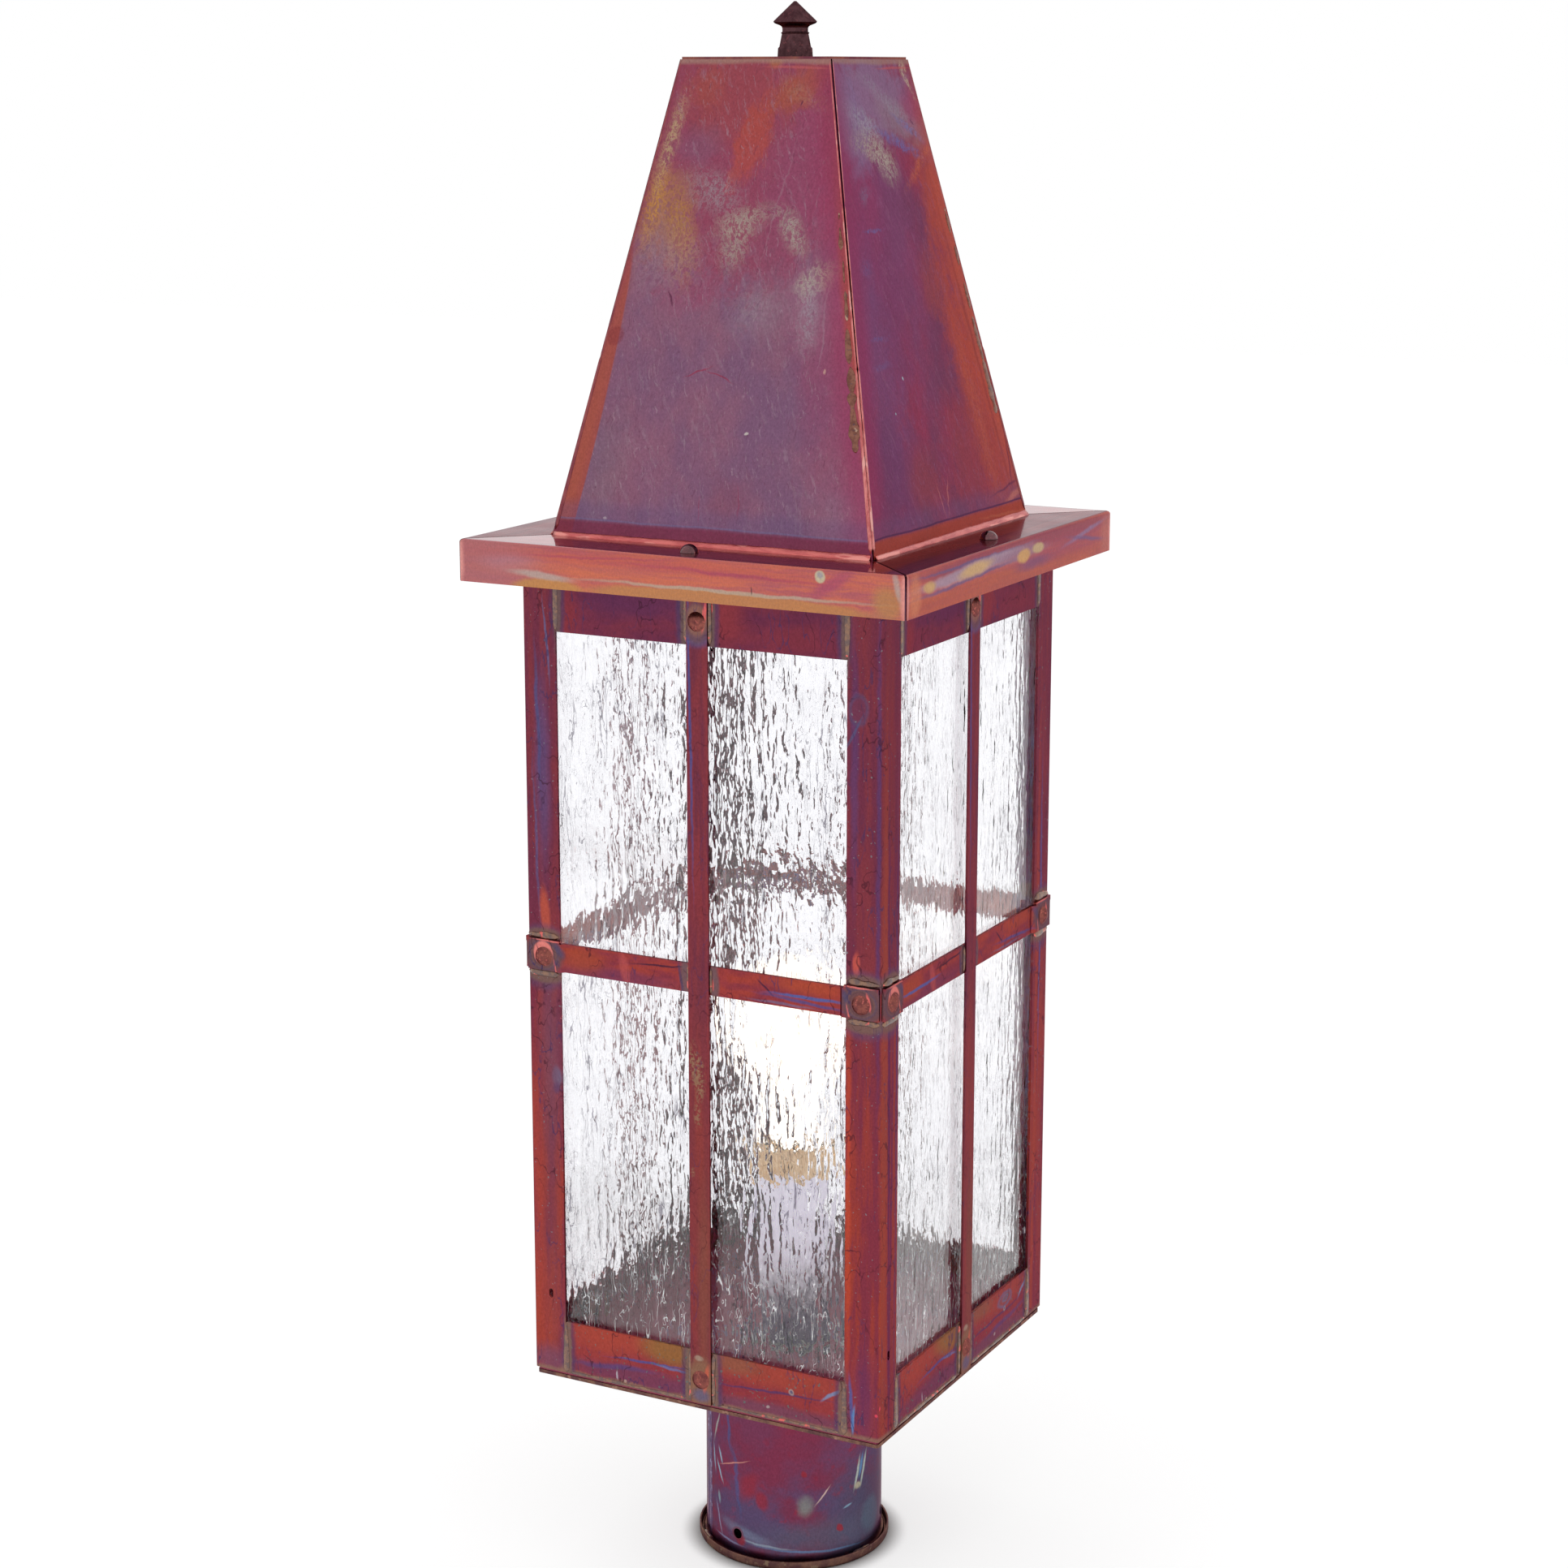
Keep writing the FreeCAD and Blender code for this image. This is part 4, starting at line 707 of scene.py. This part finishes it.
def glowing_and_shaded_sleeve():
    """Thin ivory plastic, lit through by the lamp above: a painted glow at the top, and painted plum shade at the
    foot, above the tray.
    """
    material = moulded("moulded_ivory_sleeve", "#f6f2f8", 0.4, 540.0, emission_color="#f0e8ff")
    tree = material.node_tree
    height = side_place(tree, 0, flat=False).outputs["Z"]
    # painted light and shade: emission from 118 mm up, and a plum base colour below 132 mm for the shade over the
    # tray
    feed(tree.nodes["Principled BSDF"], {
        "Emission Strength": add(tree, "MapRange", between(height, 118.0, 150.0, 0.3), **SMOOTH),
        "Base Color": lay(tree, "#6a5c7c", "#f6f2f8", height, 108.0, 132.0)})
    return material


# ---------------------------------------------------------------- meshes
def turned(point, side):
    """A point of the front side carried round to another side."""
    return Matrix.Rotation(math.pi / 2 * side, 3, "Z") @ Vector(point)


def put(name, data):
    """An object with that data, in the scene."""
    obj = bpy.data.objects.new(name, data)
    bpy.context.scene.collection.objects.link(obj)
    return obj


def piece(name, body, material, verts, faces, side=0, smooth=True):
    """A mesh in millimetres, turned to its side, as a piece of the lantern that rides on a body."""
    mesh = bpy.data.meshes.new(name)
    mesh.from_pydata([turned(v, side) * MM for v in verts], [], faces)
    mesh.validate()
    mesh.update()
    for polygon in mesh.polygons:
        polygon.use_smooth = smooth
    obj = put(name, mesh)
    mesh.materials.append(material)
    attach(obj, body)
    return obj


def wobble(*place):
    """Smooth noise from -1 to 1 at a place in space."""
    return noise.noise(Vector(place))


def bead(path, out, width, height, seed, side=0, lumps=0.35, taper=True, pitch=1.6):
    """A low ridge of solder along a path; width may be a number or a pair from start to end."""
    start, end = (width, width) if isinstance(width, (int, float)) else width
    points = [Vector(p) for p in path]
    lengths = [(b - a).length for a, b in zip(points, points[1:])]
    total = sum(lengths)
    count = max(6, int(total / pitch))
    out = Vector(out).normalized()
    verts, faces = [], []
    arc = 7
    ring = arc + 2
    for i in range(count + 1):
        t = i / count
        along = t * total
        leg = 0
        while leg < len(lengths) - 1 and along > lengths[leg]:
            along -= lengths[leg]
            leg += 1
        way = (points[leg + 1] - points[leg]).normalized()
        centre = points[leg] + way * along
        across = way.cross(out).normalized()
        swell = 1 + lumps * wobble(t * total / 4.2, seed, 0.3)
        drift = 0.12 * lumps * wobble(t * total / 7.0, seed, 5.1)
        end_cut = min(1.0, math.sqrt(min(t, 1 - t) * total / 2.5 + 0.02)) if taper else 1.0
        wide = (start + (end - start) * t) / 2 * swell * end_cut
        high = height * (1 + 0.6 * lumps * wobble(t * total / 2.6, seed, 9.7)) * end_cut
        for j in range(arc):
            turn = math.pi * j / (arc - 1)
            rag = 1 + 0.08 * lumps * wobble(t * total / 1.5, j * 0.7, seed)
            aside = wide * math.cos(turn) * rag + drift * wide
            verts.append(centre + across * aside + out * high * math.sin(turn))
        verts.append(centre - across * wide - out * 0.12)
        verts.append(centre + across * wide - out * 0.12)
    for i in range(count):
        for j in range(ring):
            a, b = i * ring + j, i * ring + (j + 1) % ring
            faces.append((a, b, b + ring, a + ring))
    faces.append(tuple(reversed(range(ring))))
    faces.append(tuple(range(count * ring, (count + 1) * ring)))
    return [turned(v, side) for v in verts], faces


def joined(parts):
    """Several (vertices, faces) pairs as one."""
    verts, faces = [], []
    for new_verts, new_faces in parts:
        shift = len(verts)
        verts += new_verts
        faces += [tuple(i + shift for i in face) for face in new_faces]
    return verts, faces


def frame_solder(side, material):
    """Solder where rails, mullion and strap meet on one side of the body."""
    rng = random.Random(40 + side)
    parts = []

    def run(x0, z0, x1, z1, width, height, lumps=0.35):
        """A bead on the front face from one (across, height) to another."""
        parts.append(bead([(x0, -HALF, z0), (x1, -HALF, z1)], (0, -1, 0), width, height, rng.random() * 90, side,
                          lumps))

    for s in (-1, 1):
        post, mullion = s * 69.5, s * 5.7
        run(post, WINDOW_TOP + 0.6, post, FASCIA_LOW + 6, (2.2, 2.8), 0.42)
        run(post, RAIL_LOW_TOP - 0.4, post, BODY_BOTTOM + 0.4, (1.4, 3.6), 0.5)
        run(mullion, WINDOW_TOP + 0.6, mullion, FASCIA_LOW + 6, 2.0, 0.7)
        run(mullion, BODY_BOTTOM + 0.4, mullion, RAIL_LOW_TOP - 0.4, 2.0, 0.7)
        run(s * 5.5, STRAP_LOW + 0.4, s * 5.5, STRAP_HIGH - 0.4, 1.3, 0.6)
        for z in (STRAP_HIGH + 1.3 + 1.3, STRAP_LOW - 1.5):
            run(s * 70.2, z, s * 85.2, z, 3.2, 1.0, 0.6)
        run(s * 8.0, BODY_BOTTOM + 0.7, s * 67.4, BODY_BOTTOM + 0.7, 1.3, 0.35, 0.7)
    verts, faces = joined(parts)
    piece("frame_solder_" + SIDES[side], "lantern", material, verts, faces)


def roof_base_solder(side, material):
    """The wiped fillet between a roof panel and the skirt."""
    y = -roof_half(SKIRT_TOP)
    path = [(-75.0, y - 0.4, SKIRT_TOP + 0.6), (75.0, y - 0.4, SKIRT_TOP + 0.6)]
    verts, faces = bead(path, (0, -0.7, 0.7), (2.6, 4.4), 0.7, 3.3 + side, side, lumps=0.22, taper=False, pitch=2.0)
    piece("roof_base_solder_" + SIDES[side], "roof", material, verts, faces)


def hip_solder(side, bright, dark):
    """Bright edges low down on a hip, either side of its open seam, and a run of flux residue beside it."""
    rng = random.Random(70 + side)

    def on_panel(z, inset):
        """A point on the front panel, inset from the right hip."""
        return (roof_half(z) - inset, -roof_half(z), z)

    lean_out = (0, -1, ROOF_LEAN)
    verts, faces = joined([
        bead([on_panel(474.5, 1.1), on_panel(548, 0.8)], lean_out, (1.9, 1.0), 0.34, rng.random() * 90, lumps=0.08,
             pitch=2.4),
        bead([on_panel(546, 0.8), on_panel(612, 0.9)], lean_out, (0.9, 0.6), 0.16, rng.random() * 90, lumps=0.15,
             pitch=2.4),
        bead([on_panel(612, 1.0), on_panel(669.5, 1.0)], lean_out, (0.6, 0.5), 0.1, rng.random() * 90, lumps=0.3,
             pitch=2.4)])
    # the panel round the corner: across and depth change places
    mirror = [Vector((-v.y, -v.x, v.z)) for v in verts]
    verts, faces = joined([(verts, faces), (mirror, [tuple(reversed(f)) for f in faces])])
    piece("hip_solder_" + CORNERS[side], "roof", bright, verts, faces, side)
    runs = []
    for z0, z1, wide in ((514, 538, 4.0), (537, 548, 2.8), (549, 563, 3.0), (566, 578, 1.8), (581, 590, 1.4),
                         (594, 603, 1.8), (606, 609, 1.4)):
        shift = rng.uniform(-4, 4) * (side > 0)
        inset = 2.1 + wide / 2
        runs.append(bead([on_panel(z0 + shift, inset), on_panel(z1 + shift, inset - 0.3)], lean_out, wide, 0.32,
                         rng.random() * 90, side, lumps=0.8, pitch=0.9))
    verts, faces = joined(runs)
    piece("hip_residue_" + CORNERS[side], "roof", dark, verts, faces)


def hip_lap(corner, material):
    """The folded lap inside a hip, which closes its seam from behind."""
    verts = []
    for z in (SKIRT_TOP + 0.2, ROOF_TOP - 1.4):
        out = roof_half(z) - math.hypot(1, ROOF_LEAN) - 0.02
        leg, back = out - 7.0, out - 0.8
        verts += [(leg, -out, z), (out, -out, z), (out, -leg, z),
                  (back, -leg, z), (back, -back, z), (leg, -back, z)]
    faces = [(i, (i + 1) % 6, (i + 1) % 6 + 6, i + 6) for i in range(6)]
    faces += [(5, 4, 3, 2, 1, 0), (6, 7, 8, 9, 10, 11)]
    piece("hip_lap_" + CORNERS[corner], "roof", material, verts, faces, corner, smooth=False)


def mitre_solder(corner, material):
    """The solder run into the open mitre between two skirt flanges, a little below their tops."""
    near, far, wide = 70.8, SKIRT_HALF - 1.1, 0.37
    outline = [(p + w, -p + w) for p, w in ((near, -wide), (far, -wide), (far, wide), (near, wide))]
    verts = [(x, y, SKIRT_TOP + z) for z in (-0.9, -0.2) for x, y in outline]
    faces = [(i, (i + 1) % 4, (i + 1) % 4 + 4, i + 4) for i in range(4)] + [(3, 2, 1, 0), (4, 5, 6, 7)]
    piece("mitre_solder_" + CORNERS[corner], "roof", material, verts, faces, corner, smooth=False)


def tube_seam(material, tan):
    """The lapped seam of the rolled fitter, and two blobs that hold the ring."""
    parts = []
    for angle, wide in ((-43.5, 1.1), (-47.5, 0.9), (-41.0, 0.6)):
        turn = math.radians(angle)
        out = Vector((math.sin(turn), -math.cos(turn), 0))
        foot = out * TUBE_R
        parts.append(bead([(foot.x, foot.y, 5.2), (foot.x, foot.y, 92.0)], out, wide, 0.22, angle, lumps=0.3))
    verts, faces = joined(parts)
    piece("fitter_seam", "lantern", material, verts, faces)
    blobs = []
    for first, last in ((-50, -34), (66, 84), (150, 170), (225, 240)):
        ring = []
        for k in range(5):
            turn = math.radians(first + (last - first) * k / 4)
            ring.append((42.3 * math.sin(turn), -42.3 * math.cos(turn), 3.0))
        blobs.append(bead(ring, (0, 0, 1), 2.4, 1.4, first, lumps=0.6))
    verts, faces = joined(blobs)
    piece("ring_solder", "lantern", tan, verts, faces)


def rain_pane(side, material):
    """A pane with welts and drops in relief on its outer face, in the space of its CAD slab."""
    low, high = (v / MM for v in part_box("glass_pane_front"))
    columns, rows = 200, 222
    seed = side * 7.7
    calm = 0.4 if side % 2 else 1.0

    def relief(x, z):
        """Depth below the outer plane, 0 to 0.9."""
        sway = 3.0 * wobble(x / 22, z / 30, seed) + 0.8 * wobble(x / 6, z / 9, seed + 2)
        welts = wobble((x + sway) / 2.9, z / 40, seed + 4)
        drops = wobble((x + sway) / 3.0, z / 5.4, seed + 6)
        return max(0.0, min(0.9, 0.45 - calm * (0.26 * welts + 0.24 * drops)))

    verts, faces = [], []
    for r in range(rows + 1):
        z = low.z + (high.z - low.z) * r / rows
        for c in range(columns + 1):
            x = low.x + (high.x - low.x) * c / columns
            verts.append((x, low.y + relief(x, z), z))
    width = columns + 1
    for r in range(rows):
        for c in range(columns):
            a = r * width + c
            faces.append((a, a + 1, a + 1 + width, a + width))
    rim = list(range(columns))
    rim += [r * width + columns for r in range(rows)]
    rim += [rows * width + c for c in range(columns, 0, -1)]
    rim += [r * width for r in range(rows, 0, -1)]
    # rim and inner face have corners of their own, so that the smooth relief stops at the edge
    edge = len(verts)
    count = len(rim)
    verts += [verts[i] for i in rim]
    for _ in range(2):
        verts += [(verts[i][0], high.y, verts[i][2]) for i in rim]
    for i in range(count):
        j = (i + 1) % count
        faces.append((edge + j, edge + i, edge + count + i, edge + count + j))
    faces.append(tuple(reversed(range(edge + 2 * count, edge + 3 * count))))
    pane = piece("rain_pane_" + SIDES[side], "lantern", material, verts, faces, side)
    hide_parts("glass_pane_" + SIDES[side])


# ---------------------------------------------------------------- stage
def seen_plainly(tree):
    """1 where the camera, a mirror or a pane looks, 0 for the light thrown on matt parts."""
    paths = add(tree, "LightPath", {}).outputs
    seen = paths["Is Camera Ray"]
    for ray in ("Is Glossy Ray", "Is Transmission Ray"):
        seen = add(tree, "Math", {0: seen, 1: paths[ray]}, operation="MAXIMUM")
    return seen


def stage():
    """Pale floor, white surroundings, two soft lamps and the camera."""
    mesh = bpy.data.meshes.new("floor")
    mesh.from_pydata([(x, y, -0.0001) for x, y in ((-6, -6), (6, -6), (6, 6), (-6, 6))], [], [(0, 1, 2, 3)])
    put("floor", mesh)
    material = bpy.data.materials.new("matt_white_floor")
    tree = emptied(material)
    seen = seen_plainly(tree)
    # it glows a little away from the foot, so that only the contact shadow stays on it
    away = add(tree, "VectorMath", {0: add(tree, "TexCoord", {}).outputs["Object"]}, operation="LENGTH")
    fade = add(tree, "MapRange", between(away.outputs["Value"], 0.042, 0.054, 0.60), **SMOOTH)
    glow = add(tree, "Emission", {"Color": "#ffffff", "Strength": fade})
    lit = add(tree, "AddShader", {0: add(tree, "BsdfDiffuse", {"Color": "#bcbcbc"}), 1: glow})
    matt = add(tree, "BsdfDiffuse", {"Color": "#e6e6e6"})
    add(tree, "OutputMaterial", {"Surface": add(tree, "MixShader", {0: seen, 1: matt, 2: lit})})
    mesh.materials.append(material)

    world = bpy.data.worlds.new("studio")
    bpy.context.scene.world = world
    tree = emptied(world)
    strength = add(tree, "MapRange", {"Value": seen_plainly(tree), "To Min": 0.9, "To Max": 1.0})
    add(tree, "OutputWorld", {"Surface": add(tree, "Background", {"Color": "#ffffff", "Strength": strength})})

    # the lamps shape the matt parts only: metal and glass mirror the plain white surroundings
    for name, place, power, size in (("key_lamp", (-1.3, -1.9, 1.7), 5.0, 1.1),
                                     ("fill_lamp", (2.1, -0.9, 0.9), 2.0, 1.2)):
        lamp = bpy.data.lights.new(name, "AREA")
        lamp.energy = power
        lamp.size = size
        obj = put(name, lamp)
        obj.visible_glossy = False
        obj.location = place
        obj.rotation_euler = (Vector(LAMPS_AIM) - Vector(place)).to_track_quat("-Z", "Y").to_euler()

    data = bpy.data.cameras.new("camera")
    data.sensor_width = 36
    data.lens = CAMERA_LENS
    data.shift_y = CAMERA_SHIFT
    data.clip_start = 0.05
    camera = put("camera", data)
    azimuth, elevation = math.radians(CAMERA_AZIMUTH), math.radians(CAMERA_ELEVATION)
    back = Vector((math.sin(azimuth) * math.cos(elevation), -math.cos(azimuth) * math.cos(elevation),
                   math.sin(elevation)))
    camera.location = CAMERA_PLACE
    camera.rotation_euler = (-back).to_track_quat("-Z", "Y").to_euler()
    bpy.context.scene.camera = camera
    bpy.context.scene.view_settings.view_transform = "Standard"


# ---------------------------------------------------------------- the lantern
def build():
    stage()
    dress(plain_copper("dull_oxidised_pan_copper", "#a04860", "#b0586e", "#7c6c98", 400.0, gloss=0.6, size=26.0,
                       metallic=0.35), "base_pan")
    # the plate is dark brown: heat-browned, and painted shade for its edge in the recess under the body
    dress(plain_copper("browned_and_shaded_plate_copper", "#5c3e40", "#84604f", "#a07868", 405.0, size=6.0), "base_plate")
    dress(plain_copper("bare_clip_copper", "#8c4a3a", "#b0705a", "#7a3c38", 410.0), "glass_clips")
    dress(plain_copper("browned_rivet_copper", "#6e3a3a", "#8f5148", "#c66a62", 420.0, size=2.6),
          "mullion_rivets", "strap_rivets")
    dress(plain_copper("browned_ring_copper", "#5a3a3c", "#7d5a4c", "#8f7862", 430.0, size=7.0), "fitter_ring")
    dress(plain_copper("dark_cast_bronze", "#3c2226", "#54363a", "#6a3c40", 440.0, gloss=0.34, size=3.0), "finial")
    dress(plain_copper("dark_screw_brass", "#4a2428", "#643238", "#8a4a4c", 450.0, gloss=0.16, size=2.0,
                       coat_weight=1.0, coat_roughness=0.04), *["roof_screw_" + s for s in SIDES])
    dress(fitter_copper(), "fitter_tube")
    dress(cap_copper(), "roof_cap")
    steel = turned_metal("zinc_plated_steel", "#a8a6a2", "#7c7a78", 0.34, 500.0)
    brass = turned_metal("turned_brass", "#f2d2a8", "#dcae7c", 0.32, 510.0)
    dress(steel, "screw_nuts", "stud_nut", "flange_rivets", "lamp_flange", "lamp_nipple", "finial_stud")
    dress(brass, "socket_collar", "screw_shell", "centre_contact")
    dress(turned_metal("drawn_aluminium", "#c4c2bf", "#98969a", 0.3, 520.0), "bulb_cap")
    dress(moulded("moulded_phenolic", "#1e1b1a", 0.5, 530.0), "socket_body")
    dress(glowing_and_shaded_sleeve(), "candle_sleeve")
    dress(frosted_glass(), "bulb_envelope", "bulb_stem")
    dress(glowing_wire(), "bulb_filament")

    tan = solder_metal("wiped_soft_solder", "#6e5a58", "#93705c", "#dd6a64", 0.38, 600.0)
    pink = solder_metal("wiped_roof_solder", "#bc5658", "#d4706c", "#e49088", 0.42, 610.0, edge="#9c4048",
                        flow=(5, 0.8), edged=0.4)
    seam = solder_metal("bare_hip_seam", "#b85c5c", "#d88480", "#e0a098", 0.40, 620.0, edge="#8a3c44",
                        flow=(0.8, 6), edged=0.35)
    dull_seam = solder_metal("browned_hip_seam", "#7c3440", "#93484a", "#a05a54", 0.36, 625.0, flow=(0.8, 6),
                             edged=0.4)
    residue = solder_metal("browned_flux_residue", "#6c3f34", "#8a5a4a", "#b0907c", 0.36, 630.0)
    # painted shade: near-black copper for the laps inside the hips and the solder in the skirt's mitres, the dark
    # of those narrow gaps
    seam_shade_copper = plain_copper("dull_seam_shade_copper", "#3c2028", "#552a32", "#6a3a3c", 650.0, gloss=0.6)
    violet = solder_metal("heat_violet_seam", "#5d4a74", "#7a5a78", "#8f86a6", 0.40, 640.0)
    for k in range(4):
        dress(roof_copper(k), "roof_panel_" + SIDES[k])
        dress(skirt_copper(k), "skirt_" + SIDES[k])
        dress(post_copper(k), "corner_post_" + CORNERS[k])
        dress(rail_copper(k, False), "top_rail_" + SIDES[k])
        dress(rail_copper(k, True), "bottom_rail_" + SIDES[k])
        dress(strap_copper(k), "strap_" + SIDES[k])
        dress(mullion_copper(k), "mullion_" + SIDES[k])
        frame_solder(k, tan)
        roof_base_solder(k, pink)
        hip_solder(k, dull_seam if k else seam, residue)
        hip_lap(k, seam_shade_copper)
        mitre_solder(k, seam_shade_copper)
        rain_pane(k, rain_glass(k))
    tube_seam(violet, tan)


build()
